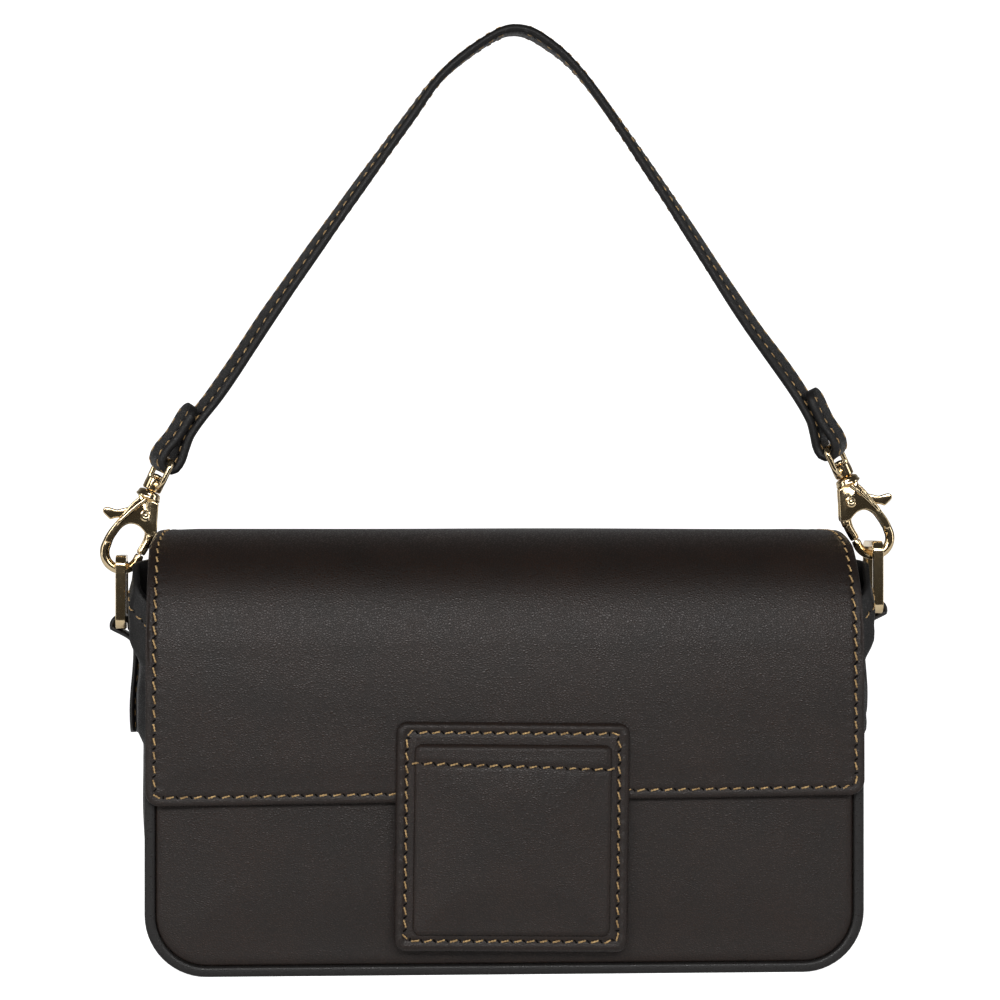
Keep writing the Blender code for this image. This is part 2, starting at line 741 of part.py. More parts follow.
def make_bail(label, parent):
    low = boss_low + bail_bar_drop
    middle = (low + crossbar_s) / 2
    loop = rounded_box(2 * bail_half, crossbar_s - low, bail_corner_radius, fine_step)
    loop = [(0, y, middle + s) for y, s in loop]
    wire = tube(f"bail_{label}", loop, bail_wire_radius, closed=True)
    obj = place(wire, f"bail_{label}", "pale_gold", parent)
    profile = [(0, boss_low + boss_length), (boss_radius, boss_low + boss_length),
               (boss_radius, boss_low), (0, boss_low)]
    boss = place(turned(f"bail_boss_{label}", profile), f"bail_boss_{label}", None, parent, cutter=True)
    add_boolean(obj, boss, "UNION")
    bore = prism(f"bail_bore_{label}", [circle(0, 0, stem_radius + fit_gap)], 2 * boss_length)
    bore = place(bore, f"bail_bore_{label}", None, parent,
                 Matrix.Translation((0, 0, boss_low + boss_length / 2)), cutter=True)
    add_boolean(obj, bore, "DIFFERENCE")


def end_point(point_shares, way, sway):
    """A point of the strap's end: way is -1 on its main, inner layer and 1 on its tail."""
    closed, rise = point_shares
    apart = fold_radius - strap_end_length * closed
    inward = fold_shift + strap_end_length * rise * math.tan(sway)
    return (way * apart - inward, crossbar_s + strap_end_length * rise)


def make_strap_end(side, label, parent, sway):
    """The strap's end, folded round the bail's bar and sewn back on its outer side."""
    main = [end_point(point, -1, sway) for point in strap_main_shares]
    fold = arc(-fold_shift, crossbar_s, fold_radius, math.pi, math.tau, fine_step)
    tail = [end_point(point, 1, sway) for point in strap_tail_shares]
    path = [(side * x, s) for x, s in main + fold + tail]
    place_strip(f"strap_end_{label}", path, strap_thickness, strap_width, "leather", parent, FRONT)


def catmull(points, k, share):
    """A smooth curve through the points, between point k and the next."""
    before = points[max(k - 1, 0)]
    first, second = points[k], points[k + 1]
    after = points[min(k + 2, len(points) - 1)]
    return (
        first * 2 + (second - before) * share
        + (before * 2 - first * 5 + second * 4 - after) * share ** 2
        + (first * 3 - before - second * 3 + after) * share ** 3
    ) / 2


def strap_centre_line():
    """The arch's middle line from the right end to the left, and each point's width direction."""
    ends = []
    for side, drop, lean, twist, sway in (RIGHT_CLASP, LEFT_CLASP):
        lean = Matrix.Rotation(-side * lean, 4, "Y")
        at = Matrix.Translation((side * clasp_spread, 0, clasp_height - drop))
        turn = Matrix.Rotation(twist, 4, "Z")
        frame = at @ lean @ turn
        high, low = (
            frame @ Vector((side * x, 0, s))
            for x, s in (end_point(point, -1, sway) for point in strap_main_shares[:2])
        )
        direction = (high - low).normalized()
        ends.append((high + direction * fit_gap, direction, frame.to_3x3() @ Vector((0, 1, 0))))
    (right, right_way, right_width), (left, left_way, left_width) = ends
    half_span = (right.x - left.x) / 2
    rise = strap_apex_height - right.z
    reach = half_span * strap_arch_shares[0][0] / 2
    points = [right - right_way * reach, right]
    points += [Vector((x * half_span, 0, right.z + rise * z)) for x, z in strap_arch_shares]
    points += [left, left - left_way * reach]
    rows = []
    spans = len(points) - 3
    for step in range(arch_steps + 1):
        place_on = spans * step / arch_steps
        k = min(int(place_on), spans - 1)
        rows.append(catmull(points, k + 1, place_on - k))
    return rows, right_way, left_way, right_width, left_width


def make_strap():
    rows, right_way, left_way, right_width, left_width = strap_centre_line()
    across = Vector((0, 1, 0))
    bm = bmesh.new()
    rings = []
    for k, centre in enumerate(rows):
        share = k / (len(rows) - 1)
        if k == 0:
            along = right_way
        elif k == len(rows) - 1:
            along = -left_way
        else:
            along = (rows[k + 1] - rows[k - 1]).normalized()
        near_right = smooth_step(1 - share / twist_reach_share)
        near_left = smooth_step(1 - (1 - share) / twist_reach_share)
        width = across * (1 - near_right - near_left) + right_width * near_right + left_width * near_left
        width = (width - along * width.dot(along)).normalized()
        out = along.cross(width).normalized()
        corner = [(1, 1), (1, -1), (-1, -1), (-1, 1)]
        rings.append([
            bm.verts.new(centre + width * (a * strap_width / 2) + out * (b * strap_thickness / 2))
            for a, b in corner
        ])
    for first, second in zip(rings, rings[1:]):
        for k in range(4):
            bm.faces.new((first[k], first[(k + 1) % 4], second[(k + 1) % 4], second[k]))
    bm.faces.new(rings[0][::-1])
    bm.faces.new(rings[-1])
    place(finish_mesh(bm, "strap"), "strap", "leather", BAG)


clear_scene()
PARTS = make_collection("Flap bag")
CUTTERS = make_collection("Cutters")
SURFACES = {name: make_material(name, *look) for name, look in MATERIALS.items()}
BAG = make_empty("bag_frame", None, Matrix.Translation((0, mid_y, 0)))
FLAP = make_empty("flap_hinge", BAG, HINGE)
make_body()
make_snap()
make_flap()
make_side(1, "right", 0)
make_side(-1, "left", left_side_drop)
make_clasp("right", *RIGHT_CLASP)
make_clasp("left", *LEFT_CLASP)
make_strap()
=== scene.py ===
"""The looks of the flap bag: smooth dark brown leather with tan stitching and pale gold
fittings, on a plain white studio floor. Metres, +Z up, the front faces -Y.
"""

import math

import bmesh
import bpy
import numpy as np
from mathutils import Matrix, Vector


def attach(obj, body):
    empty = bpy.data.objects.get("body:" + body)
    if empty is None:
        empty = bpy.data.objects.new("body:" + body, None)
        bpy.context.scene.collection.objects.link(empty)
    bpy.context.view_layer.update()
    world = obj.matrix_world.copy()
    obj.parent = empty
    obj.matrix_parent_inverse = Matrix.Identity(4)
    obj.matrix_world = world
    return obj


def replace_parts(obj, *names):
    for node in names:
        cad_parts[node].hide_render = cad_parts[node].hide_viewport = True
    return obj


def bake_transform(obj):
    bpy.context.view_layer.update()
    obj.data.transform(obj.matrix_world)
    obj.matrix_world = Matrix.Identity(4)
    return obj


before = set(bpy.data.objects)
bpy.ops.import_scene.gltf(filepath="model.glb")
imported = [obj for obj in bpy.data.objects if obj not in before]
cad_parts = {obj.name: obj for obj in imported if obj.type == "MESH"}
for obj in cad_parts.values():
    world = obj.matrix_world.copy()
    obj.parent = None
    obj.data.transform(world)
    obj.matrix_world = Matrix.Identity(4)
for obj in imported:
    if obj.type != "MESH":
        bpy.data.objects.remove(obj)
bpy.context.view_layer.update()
MM = 0.001

# The bag's own places, as its parts have them
MID_Y = 3.6 * MM
FRONT_Y = MID_Y - 30 * MM
BACK_Y = MID_Y + 30 * MM
BODY_HALF = 104.8 * MM
SHOULDER_HALF = 103.6 * MM
TOP_HALF = 101.8 * MM
STRAIGHT_HEIGHT = 62 * MM
SHOULDER_HEIGHT = 100 * MM
BACK_HEIGHT = 124.2 * MM
FRONT_HEIGHT = 93 * MM
CORNER_RADIUS = 18 * MM
BAND_WIDTH = 3.0 * MM
BAND_DEPTH = 2.5 * MM
PANEL_INSET = 3.1 * MM
GUSSET_HALF_DEPTH = 27.3 * MM
GUSSET_THICKNESS = 1.9 * MM
POCKET_FLOOR = 4.3 * MM
POCKET_THICKNESS = 0.8 * MM

# Flap: its section is a drop, a large front arc, a flat top and a small arc at the hinge
FLAP_FACE_Y = MID_Y - 33.2 * MM
FLAP_HALF = 104.6 * MM
FLAP_SHOULDER_HALF = 104.5 * MM
FLAP_CROWN_HALF = 104.0 * MM
FLAP_CROWN = 124.8 * MM
FLAP_TOP_HALF = 101.7 * MM
FLAP_TOP = 129.0 * MM
FLAP_RADIUS = 34.5 * MM
HINGE_RADIUS = 4.0 * MM
FLAP_EDGE = 50.7 * MM
FLAP_SLANT = 2.4 * MM
FLAP_THICKNESS = 1.7 * MM
FLAP_LINING_THICKNESS = 0.9 * MM
FLAP_CORNER = 4.5 * MM
FLAP_SPARE = 3 * MM

# Closure tab and its pad
TAB_CENTRE = Vector((1.3 * MM, MID_Y - 33.5 * MM, 40.5 * MM))
TAB_TURN = math.radians(-0.7)
TAB_SIZE = (67.8 * MM, 66.4 * MM)
TAB_THICKNESS = 2.4 * MM
TAB_CORNER = 3.2 * MM
PAD_SIZE = (57.2 * MM, 55.4 * MM)
PAD_RISE = 1.3 * MM
PAD_SINK = 0.25 * MM
HEM_INSET = 6.3 * MM
PAD_DROP = 0.8 * MM
HEM_SLOPE = 0.025

# Seams
STITCH_PITCH = 4.0 * MM
TAB_PITCH = 3.7 * MM
SEAM_INSET = 2.6 * MM
TAB_SEAM_INSET = 3.1 * MM
STRAP_SEAM_INSET = 1.75 * MM
THREAD_RADIUS = 0.23 * MM

# Clasps and rings
CLASP_SPREAD = 112.5 * MM
CLASP_HEIGHT = 126.6 * MM
LEFT_DROP = 4.1 * MM
RING_BAR_DROP = 21.6 * MM
RING_WIDTH, RING_HEIGHT = 18.0 * MM, 19.8 * MM
RING_BAND = (2.0 * MM, 3.1 * MM)
LOOP_WIDTH = 13.5 * MM
LOOP_THICKNESS = 1.5 * MM
LOOP_LENGTH = 31.8 * MM
CLASP_LEAN = {"left": math.radians(25.2), "right": math.radians(24.6)}
BOW_RADIUS = 5.1 * MM
HOOK_LENGTH = 18 * MM
RIVET = (-1.8 * MM, 0, 12.8 * MM)
BAIL_WIDTH, BAIL_HEIGHT = 15.1 * MM, 8.3 * MM
BAIL_RISE = 26.35 * MM
BAIL_WIRE_RADIUS = 0.85 * MM
BAIL_TURN = {"left": math.radians(18), "right": math.radians(-24)}
SIDES = {"left": -1, "right": 1}

# Strap
STRAP_WIDTH = 12.3 * MM
STRAP_THICKNESS = 2.6 * MM
STRAP_APEX = 278.5 * MM
STRAP_END_LENGTH = 21.4 * MM
CROSSBAR = 30.5 * MM
FOLD_RADIUS = 2.75 * MM
FOLD_SHIFT = 0.15 * MM
STRAP_END_SWAY = {"left": math.radians(5.5), "right": 0.0}


# ---------------------------------------------------------------- materials

def srgb(red, green, blue):
    """A colour written as 0-255 screen values."""
    def line(value):
        value /= 255
        return value / 12.92 if value <= 0.04045 else ((value + 0.055) / 1.055) ** 2.4
    return (line(red), line(green), line(blue), 1.0)


PORE_DEPTH = 0.000012


class Tree:
    """A short way to write a node tree."""

    def __init__(self, tree):
        self.tree = tree

    def add(self, kind, inputs=None, **settings):
        node = self.tree.nodes.new(kind)
        for key, value in settings.items():
            setattr(node, key, value)
        for key, value in (inputs or {}).items():
            self.link(value, node.inputs[key])
        return node

    def link(self, value, socket):
        if isinstance(value, bpy.types.NodeSocket):
            self.tree.links.new(value, socket)
        else:
            socket.default_value = value

    def axis(self, space, name):
        """One coordinate of the shaded point, in the given space."""
        where = self.add("ShaderNodeTexCoord")
        return self.add("ShaderNodeSeparateXYZ", {"Vector": where.outputs[space]}).outputs[name]

    def place(self, scale, turn=(0, 0, 0)):
        where = self.add("ShaderNodeTexCoord")
        return self.add("ShaderNodeMapping", {"Vector": where.outputs["Object"], "Scale": scale,
                                              "Rotation": turn}).outputs[0]

    def noise(self, vector, scale, detail=3.0, roughness=0.5):
        return self.add("ShaderNodeTexNoise", {"Vector": vector, "Scale": scale, "Detail": detail,
                                               "Roughness": roughness}).outputs["Fac"]

    def cells(self, vector, scale):
        return self.add("ShaderNodeTexVoronoi", {"Vector": vector, "Scale": scale},
                        feature="DISTANCE_TO_EDGE").outputs["Distance"]

    def ramp(self, value, *stops):
        node = self.add("ShaderNodeValToRGB", {"Fac": value})
        ramp = node.color_ramp
        while len(ramp.elements) < len(stops):
            ramp.elements.new(0.5)
        for element, (at, colour) in zip(ramp.elements, stops):
            element.position = at
            element.color = colour if isinstance(colour, tuple) else (colour, colour, colour, 1)
        return node.outputs["Color"]

    def maths(self, operation, first, second):
        node = self.add("ShaderNodeMath", operation=operation)
        self.link(first, node.inputs[0])
        self.link(second, node.inputs[1])
        return node.outputs[0]

    def mix(self, factor, first, second, blend="MIX"):
        return self.add("ShaderNodeMix", {"Factor": factor, "A": first, "B": second},
                        data_type="RGBA", blend_type=blend).outputs["Result"]

    def rays(self, *kinds):
        """Whether the light is seen by these kinds of ray, 0 or 1."""
        path = self.add("ShaderNodeLightPath")
        total = path.outputs[kinds[0]]
        for kind in kinds[1:]:
            total = self.maths("MAXIMUM", total, path.outputs[kind])
        return total


class Nodes(Tree):
    """A material's node tree."""

    def __init__(self, name):
        self.material = bpy.data.materials.new(name)
        self.material.use_nodes = True
        super().__init__(self.material.node_tree)
        self.shader = self.tree.nodes["Principled BSDF"]

    def bump(self, *layers):
        """Bump layers, each a height and its depth in metres."""
        normal = None
        for height, depth in layers:
            node = self.add("ShaderNodeBump", {"Height": height, "Distance": depth, "Strength": 1.0})
            if normal is not None:
                self.tree.links.new(normal, node.inputs["Normal"])
            normal = node.outputs[0]
        self.tree.links.new(normal, self.shader.inputs["Normal"])

    def set(self, **values):
        """Sets or links sockets of the shader, named with underscores for spaces."""
        for key, value in values.items():
            self.link(value, self.shader.inputs[key.replace("_", " ")])


def leather_material(name, dark, light, grain_depth, roughness):
    """Smooth calf leather: pebbled grain that runs on a slant, faint pores and mottling, with painted shade
    darkening the grain's creases.
    """
    m = Nodes(name)
    slant = m.place((1.0, 1.0, 1.25), (0, math.radians(-34), 0))
    plain = m.place((1.0, 1.0, 1.0))
    warp = m.noise(slant, 620, 2.0)
    folds = m.noise(slant, 1250, 3.0, 0.6)
    pebbles = m.cells(slant, 1250)
    grain = m.maths("ADD", m.maths("MULTIPLY", folds, 0.50), m.maths("MULTIPLY", pebbles, 1.5))
    mottle = m.noise(plain, 60, 4.0, 0.6)
    colour = m.ramp(mottle, (0.30, dark), (0.72, light))
    # Painted shade: the colour is darkened where the grain's bumps dip into creases.
    painted_crease_shade = m.ramp(grain, (0.30, 0.50), (0.70, 1.0))
    shade = m.mix(1.0, colour, painted_crease_shade, "MULTIPLY")
    rough = m.ramp(grain, (0.34, roughness + 0.20), (0.74, roughness - 0.07))
    m.set(Base_Color=shade, Roughness=rough, Metallic=0.0, IOR=1.48)
    m.set(Specular_IOR_Level=0.5, Sheen_Weight=0.02, Sheen_Roughness=0.5)
    m.bump((grain, grain_depth), (warp, grain_depth * 0.3), (m.noise(plain, 5200, 2.0), PORE_DEPTH))
    return m.material


def plain_material(name, bumps, colour=None, rough=None, **values):
    """A material made of noise: painted edge, thread, fabric, board or steel. colour and rough
    each hold a noise and the stops of its ramp, and bumps hold noises with their depths in metres.
    A noise is its scale, detail and roughness. values are plain values of the shader's sockets."""
    m = Nodes(name)
    place = m.place((1, 1, 1))
    for socket, look in (("Base_Color", colour), ("Roughness", rough)):
        if look:
            noise, *stops = look
            values[socket] = m.ramp(m.noise(place, *noise), *stops)
    m.set(**values)
    m.bump(*((m.noise(place, *noise), depth) for noise, depth in bumps))
    return m.material


def gold_material():
    """Polished pale gold plating with faint wear and hairlines."""
    m = Nodes("pale_gold")
    place = m.place((1, 1, 1))
    lines = m.place((1, 1, 14), (0.3, 0.5, 0.0))
    colour = m.ramp(m.noise(place, 300, 3.0), (0.3, srgb(236, 208, 162)), (0.7, srgb(247, 226, 186)))
    rough = m.ramp(m.noise(lines, 900, 3.0), (0.35, 0.09), (0.75, 0.17))
    m.set(Base_Color=colour, Roughness=rough, Metallic=1.0)
    m.bump((m.noise(place, 260, 2.0), 0.00010), (m.noise(lines, 1600, 2.0), 0.0000008))
    return m.material


MATERIAL = {
    "leather": leather_material("leather", srgb(29, 17, 10), srgb(40, 24, 15), 0.00008, 0.385),
    # Painted shade: a darker, greyer copy of the bag's leather, used for the gusset and the strap.
    "dark": leather_material("painted_shade_leather", srgb(15, 13, 13), srgb(23, 20, 19), 0.00007, 0.42),
    "band": leather_material("band_leather", srgb(24, 21, 20), srgb(32, 28, 27), 0.00004, 0.34),
    "edge": plain_material(
        "edge_paint", bumps=(((700, 3.0), 0.00005), ((4200, 2.0), 0.000012)),
        colour=((160, 3.0), (0.3, srgb(19, 17, 16)), (0.7, srgb(28, 25, 24))),
        rough=((420, 3.0), (0.3, 0.30), (0.7, 0.42)), IOR=1.5),
    "thread": plain_material(
        "thread", bumps=(((7000, 2.0), 0.00003),),
        colour=((900, 4.0), (0.28, srgb(142, 110, 68)), (0.72, srgb(222, 186, 128))),
        Roughness=0.6, Sheen_Weight=0.15, Sheen_Roughness=0.4),
    # Painted shade: the needle holes are near-black ovals on the leather, not real holes.
    "hole": plain_material(
        "needle_hole_painted_shade", bumps=(((5000, 2.0), 0.00003),),
        colour=((1500, 2.0), (0.3, srgb(8, 7, 6)), (0.7, srgb(17, 14, 12))),
        Roughness=0.85, Specular_IOR_Level=0.1),
    "lining": plain_material(
        "lining_fabric", bumps=(((2600, 3.0), 0.00008), ((420, 3.0), 0.00012)),
        colour=((130, 4.0, 0.65), (0.3, srgb(60, 50, 43)), (0.7, srgb(82, 70, 60))),
        Roughness=0.92, Sheen_Weight=0.5, Sheen_Roughness=0.35),
    "board": plain_material(
        "fibre_board", bumps=(((1400, 4.0), 0.00012),),
        colour=((500, 5.0, 0.7), (0.3, srgb(120, 100, 76)), (0.7, srgb(156, 134, 104))), Roughness=0.88),
    "gold": gold_material(),
    "steel": plain_material(
        "spring_steel", bumps=(((2400, 2.0), 0.00001),),
        rough=((900, 3.0), (0.3, 0.24), (0.7, 0.36)), Base_Color=srgb(176, 174, 170), Metallic=1.0),
}


# ---------------------------------------------------------------- mesh helpers

def new_object(name, data):
    obj = bpy.data.objects.new(name, data)
    bpy.context.scene.collection.objects.link(obj)
    return obj


def make_piece(name, verts, faces, kind, body=None):
    """A smooth-shaded mesh object that rides on a body."""
    mesh = bpy.data.meshes.new(name)
    mesh.from_pydata([tuple(v) for v in verts], [], faces)
    mesh.update()
    bm = bmesh.new()
    bm.from_mesh(mesh)
    bmesh.ops.recalc_face_normals(bm, faces=bm.faces)
    bm.to_mesh(mesh)
    bm.free()
    mesh.shade_smooth()
    obj = new_object(name, mesh)
    mesh.materials.append(MATERIAL[kind])
    if body:
        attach(obj, body)
    return obj


def grid_faces(rows, columns, start=0, closed=False):
    """Quads over a grid of points stored row by row; closed joins each row's ends."""
    faces = []
    last = columns if closed else columns - 1
    for r in range(rows - 1):
        for c in range(last):
            d = (c + 1) % columns
            a = start + r * columns
            faces.append((a + c, a + d, a + columns + d, a + columns + c))
    return faces


def smooth(value):
    value = np.clip(value, 0.0, 1.0)
    return value * value * (3 - 2 * value)


def bell(value, middle, width):
    return np.exp(-(((value - middle) / width) ** 2))


def shell_faces(rows, columns):
    """Faces of two grids of points that lie over each other, joined along their borders."""
    count = rows * columns
    faces = grid_faces(rows, columns)
    faces += [tuple(count + i for i in reversed(quad)) for quad in faces]
    border = list(range(columns)) + [r * columns + columns - 1 for r in range(1, rows)]
    border += [(rows - 1) * columns + c for c in range(columns - 2, -1, -1)]
    border += [r * columns for r in range(rows - 2, 0, -1)]
    return faces + [(a, a + count, b + count, b) for a, b in zip(border, border[1:] + border[:1])]


def tube_faces(rows, count, start=0, closed=False):
    """Faces of a tube of rings; its ends are capped, or joined to each other if it is closed."""
    faces = grid_faces(rows, count, start, closed=True)
    end = start + count * (rows - 1)
    if closed:
        return faces + [(end + c, end + (c + 1) % count, start + (c + 1) % count, start + c)
                        for c in range(count)]
    return faces + [tuple(range(start, start + count)), tuple(range(end, end + count))]


def stacked(*parts):
    """Points from their coordinates, each an array or one value for all of them."""
    return np.stack(np.broadcast_arrays(*parts), axis=-1)


def spread(line, y):
    """The x, z points of a front view, placed at a depth."""
    return stacked(line[:, 0], y, line[:, 1])


def run_lengths(points):
    """The length along a line at each of its points."""
    return np.concatenate([[0], np.cumsum(np.linalg.norm(np.diff(points, axis=0), axis=1))])


def at_lengths(wanted, lengths, points):
    """The points at the wanted lengths of a line, and whatever the rows hold beside them."""
    return stacked(*(np.interp(wanted, lengths, column) for column in points.T))


EDGE_STEPS = np.array([0, 0.06, 0.2, 0.42, 0.75, 1.1, 1.5, 1.9, 2.25, 2.6, 2.95, 3.3, 3.8, 4.5, 5.4]) * MM


def spaced(length, step):
    """Places along a length, close together near both ends and evenly spaced between."""
    low = EDGE_STEPS - length / 2
    between = length - 2 * EDGE_STEPS[-1]
    count = max(1, round(between / step))
    return np.concatenate([low, low[-1] + between / count * np.arange(1, count), -low[::-1]])


def sheet_points(width, height, radii, step):
    """A grid over a rounded rectangle: its x, z and distance to the edge at each point.
    The corner squares of the grid are turned into rings about each corner."""
    x, z = np.meshgrid(spaced(width, step), spaced(height, step))
    low, high = radii
    radius = np.where(z < 0, low, high)
    a = np.abs(x) - (width / 2 - radius)
    b = np.abs(z) - (height / 2 - radius)
    corner = (a > 0) & (b > 0)
    ring = np.maximum(a, b)
    low_side = a >= b
    safe = np.where(ring > 0, ring, 1.0)
    angle = np.where(low_side, b / safe, 2 - a / safe) * math.pi / 4
    new_x = np.where(corner, width / 2 - radius + ring * np.cos(angle), np.abs(x)) * np.sign(x)
    new_z = np.where(corner, height / 2 - radius + ring * np.sin(angle), np.abs(z)) * np.sign(z)
    edge = np.minimum(width / 2 - np.abs(x), height / 2 - np.abs(z))
    return new_x, new_z, edge


def rounding(edge, radius):
    """How far a surface has dropped at a distance in from its rounded edge."""
    inside = np.clip(1 - edge / radius, 0, 1)
    return radius * (1 - np.sqrt(np.clip(1 - inside ** 2, 0, 1)))


def closed_sheet(name, kind, body, size, radii, thickness, place, relief=None, step=1.3 * MM, under=0.3):
    """A leather sheet with rounded edges. place turns x, z and height into a point, with the
    height counted from the sheet's back; relief adds to the face from x, z and the edge distance."""
    x, z, edge = sheet_points(*size, radii, step)
    face = thickness - rounding(edge, thickness * (1 - under))
    if relief is not None:
        face = face + relief(x, z, edge) * smooth(edge / (1.2 * MM))
    layers = place(x, z, face), place(x, z, rounding(edge, thickness * under))
    verts = np.vstack([layer.reshape(-1, 3) for layer in layers])
    return make_piece(name, verts, shell_faces(*x.shape), kind, body)


def even(points, pitch, closed=False):
    """The points of a line moved to an even pitch, as near to the wanted one as fits."""
    points = np.array(points, float)
    if closed:
        points = np.vstack([points, points[:1]])
    lengths = run_lengths(points[:, :3])
    count = max(2, round(lengths[-1] / pitch))
    return at_lengths((np.arange(count) + 0.5) * lengths[-1] / count, lengths, points)


def turned(points, matrix):
    """The points carried by a 4 x 4 matrix."""
    return points @ matrix[:3, :3].T + matrix[:3, 3]


def unit(vectors):
    return vectors / np.maximum(np.linalg.norm(vectors, axis=-1, keepdims=True), 1e-12)


def directions(points, closed=False):
    """The direction of a line at each of its points."""
    if closed:
        return unit(np.roll(points, -1, axis=0) - np.roll(points, 1, axis=0))
    return unit(np.gradient(points, axis=0))


def sideways(along):
    """Flat directions turned a quarter turn."""
    return stacked(-along[:, 1], along[:, 0])


def circle(centre, first, second, count):
    """Points round a centre, on the ellipse with these two half axes."""
    angles = math.tau * np.arange(count)[:, None] / count
    return list(centre + first * np.cos(angles) + second * np.sin(angles))


class Seam:
    """Twisted thread stitches and, between them, thin dark ovals of painted shade where the needle holes are,
    along lines on the leather.
    """

    SLANT = math.radians(14)
    HOLE_SLANT = math.radians(-48)
    HOLE_SIZE = (0.74 * MM, 0.27 * MM)
    STEPS = np.linspace(-1, 1, 9)

    def __init__(self, pitch=STITCH_PITCH, radius=THREAD_RADIUS):
        self.pitch = pitch
        self.radius = radius
        self.thread, self.thread_faces = [], []
        self.holes, self.hole_faces = [], []

    def add(self, points, normals, closed=False):
        line = even(np.hstack([points, normals]), self.pitch, closed)
        centres, normals = line[:, :3], unit(line[:, 3:])
        ahead = np.roll(centres, -1, axis=0) - centres
        behind = centres - np.roll(centres, 1, axis=0)
        if not closed:
            ahead[-1], behind[0] = behind[-1], ahead[0]
        along = unit(unit(ahead) + unit(behind))
        side = unit(np.cross(normals, along))
        normals = unit(np.cross(along, side))
        for k, centre in enumerate(centres):
            self.stitch(centre, along[k], side[k], normals[k], k)
            if closed or k < len(centres) - 1:
                self.hole(centre + ahead[k] / 2, along[k], side[k], normals[k])
        return self

    def stitch(self, centre, along, side, normal, number):
        """Two plies twisted round each other, their ends sunk into the leather."""
        wobble = math.sin(number * 12.9898) * 0.05
        turn = self.SLANT + wobble
        way = along * math.cos(turn) + side * math.sin(turn)
        across = np.cross(normal, way)
        half = self.pitch * (0.335 + wobble * 0.2)
        swing_radius, ply_radius = self.radius * 0.62, self.radius * 0.72
        for strand in (0, 1):
            self.thread_faces += tube_faces(len(self.STEPS), 5, len(self.thread))
            for u in self.STEPS:
                lift = self.radius * (0.55 - 2.3 * abs(u) ** 3.2)
                swing = math.pi * (strand + 1.35 * u)
                middle = centre + way * (half * u) + normal * lift
                middle = middle + (across * math.cos(swing) + normal * math.sin(swing)) * swing_radius
                self.thread += circle(middle, across * ply_radius, normal * ply_radius, 5)

    def hole(self, centre, along, side, normal):
        """A slanted needle hole shown as painted shade: a thin dark oval that lies just on the leather."""
        way = along * math.cos(self.HOLE_SLANT) + side * math.sin(self.HOLE_SLANT)
        across = np.cross(normal, way)
        self.hole_faces += tube_faces(2, 10, len(self.holes))
        for size, lift in ((1.0, -0.02 * MM), (0.8, 0.09 * MM)):
            long, short = (size * part for part in self.HOLE_SIZE)
            self.holes += circle(centre + normal * lift, way * long, across * short, 10)

    def make(self, name, body=None):
        return (
            make_piece(f"{name}_thread", self.thread, self.thread_faces, "thread", body),
            make_piece(f"{name}_holes", self.holes, self.hole_faces, "hole", body),
        )


def catmull(points, per_span=8):
    """A smooth line through the points, as an array of points."""
    points = np.array(points, float)
    padded = np.vstack([2 * points[0] - points[1], points, 2 * points[-1] - points[-2]])
    rows = []
    for k in range(len(points) - 1):
        a, b, c, d = padded[k:k + 4]
        for share in np.arange(per_span) / per_span:
            rows.append((b * 2 + (c - a) * share + (a * 2 - b * 5 + c * 4 - d) * share ** 2
                         + (b * 3 - a - c * 3 + d) * share ** 3) / 2)
    rows.append(points[-1])
    return np.array(rows)


def arc_points(centre, radius, start, end, count):
    angles = np.linspace(math.radians(start), math.radians(end), count)
    return stacked(centre[0] + radius * np.cos(angles), centre[1] + radius * np.sin(angles))


def strip_frames(points, widths):
    """Each point's direction, width direction and outward direction along a strip."""
    along = directions(points)
    widths = unit(widths - along * np.sum(widths * along, axis=1, keepdims=True))
    return along, widths, np.cross(along, widths)


TIP_WIDTH = 0.14


def leather_strip(name, kind, body, points, widths, width, thickness, tip_low=0.0, tip_high=0.0,
                  relief=None, across_steps=15):
    """A flat strip of leather along the points. A tip length rounds that end of the strip."""
    _, side, out = strip_frames(points, widths)
    lengths = run_lengths(points)
    total = lengths[-1]
    round_edge = thickness * 0.42
    verts = []
    for k, point in enumerate(points):
        near = 1.0
        for tip, distance in ((tip_low, lengths[k]), (tip_high, total - lengths[k])):
            if tip:
                inside = min(1.0, distance / tip)
                near = min(near, math.sqrt(1 - (1 - inside) ** 2) * (1 - TIP_WIDTH) + TIP_WIDTH)
        half = width / 2 * near
        ring = []
        for face in (1, -1):
            for b in np.linspace(-1, 1, across_steps) * face:
                edge = half * (1 - abs(b))
                height = thickness / 2 - rounding(np.array(edge), round_edge)
                if relief is not None:
                    height = height + relief(lengths[k], b * half, half) * min(1.0, edge / (0.8 * MM))
                ring.append(point + side[k] * (b * half) + out[k] * (face * height))
        verts += ring
    return make_piece(name, verts, tube_faces(len(points), 2 * across_steps), kind, body)


def strip_seam(seam, points, widths, offset, thickness, face=1, skip=(0, 0)):
    """A row of stitches along a strip, the offset from its middle line, on one face."""
    _, side, out = strip_frames(points, widths)
    line = points + side * offset + out * (face * thickness / 2)
    stop = len(points) - skip[1]
    return seam.add(line[skip[0]:stop], (out * face)[skip[0]:stop])


def half_width(z):
    """Half the body's width at each height."""
    return np.interp(z, [0, STRAIGHT_HEIGHT, SHOULDER_HEIGHT, BACK_HEIGHT],
                     [BODY_HALF, BODY_HALF, SHOULDER_HALF, TOP_HALF])


def u_shape(heights, reach, half, radius, inset, steps):
    """A U from its left top down and up to its right top, as x, z. The sides have a reach at each
    height, and the rounded corners and floor lie the inset inside a box of the half width."""
    corner = arc_points((half - radius, radius), radius - inset, 0, -90, steps[0])
    floor = stacked(np.linspace(corner[-1][0], 0, steps[1])[1:], inset)
    right = np.vstack([stacked(reach, heights), corner, floor])
    return np.vstack([right[:-1] * (-1, 1), right[::-1]])


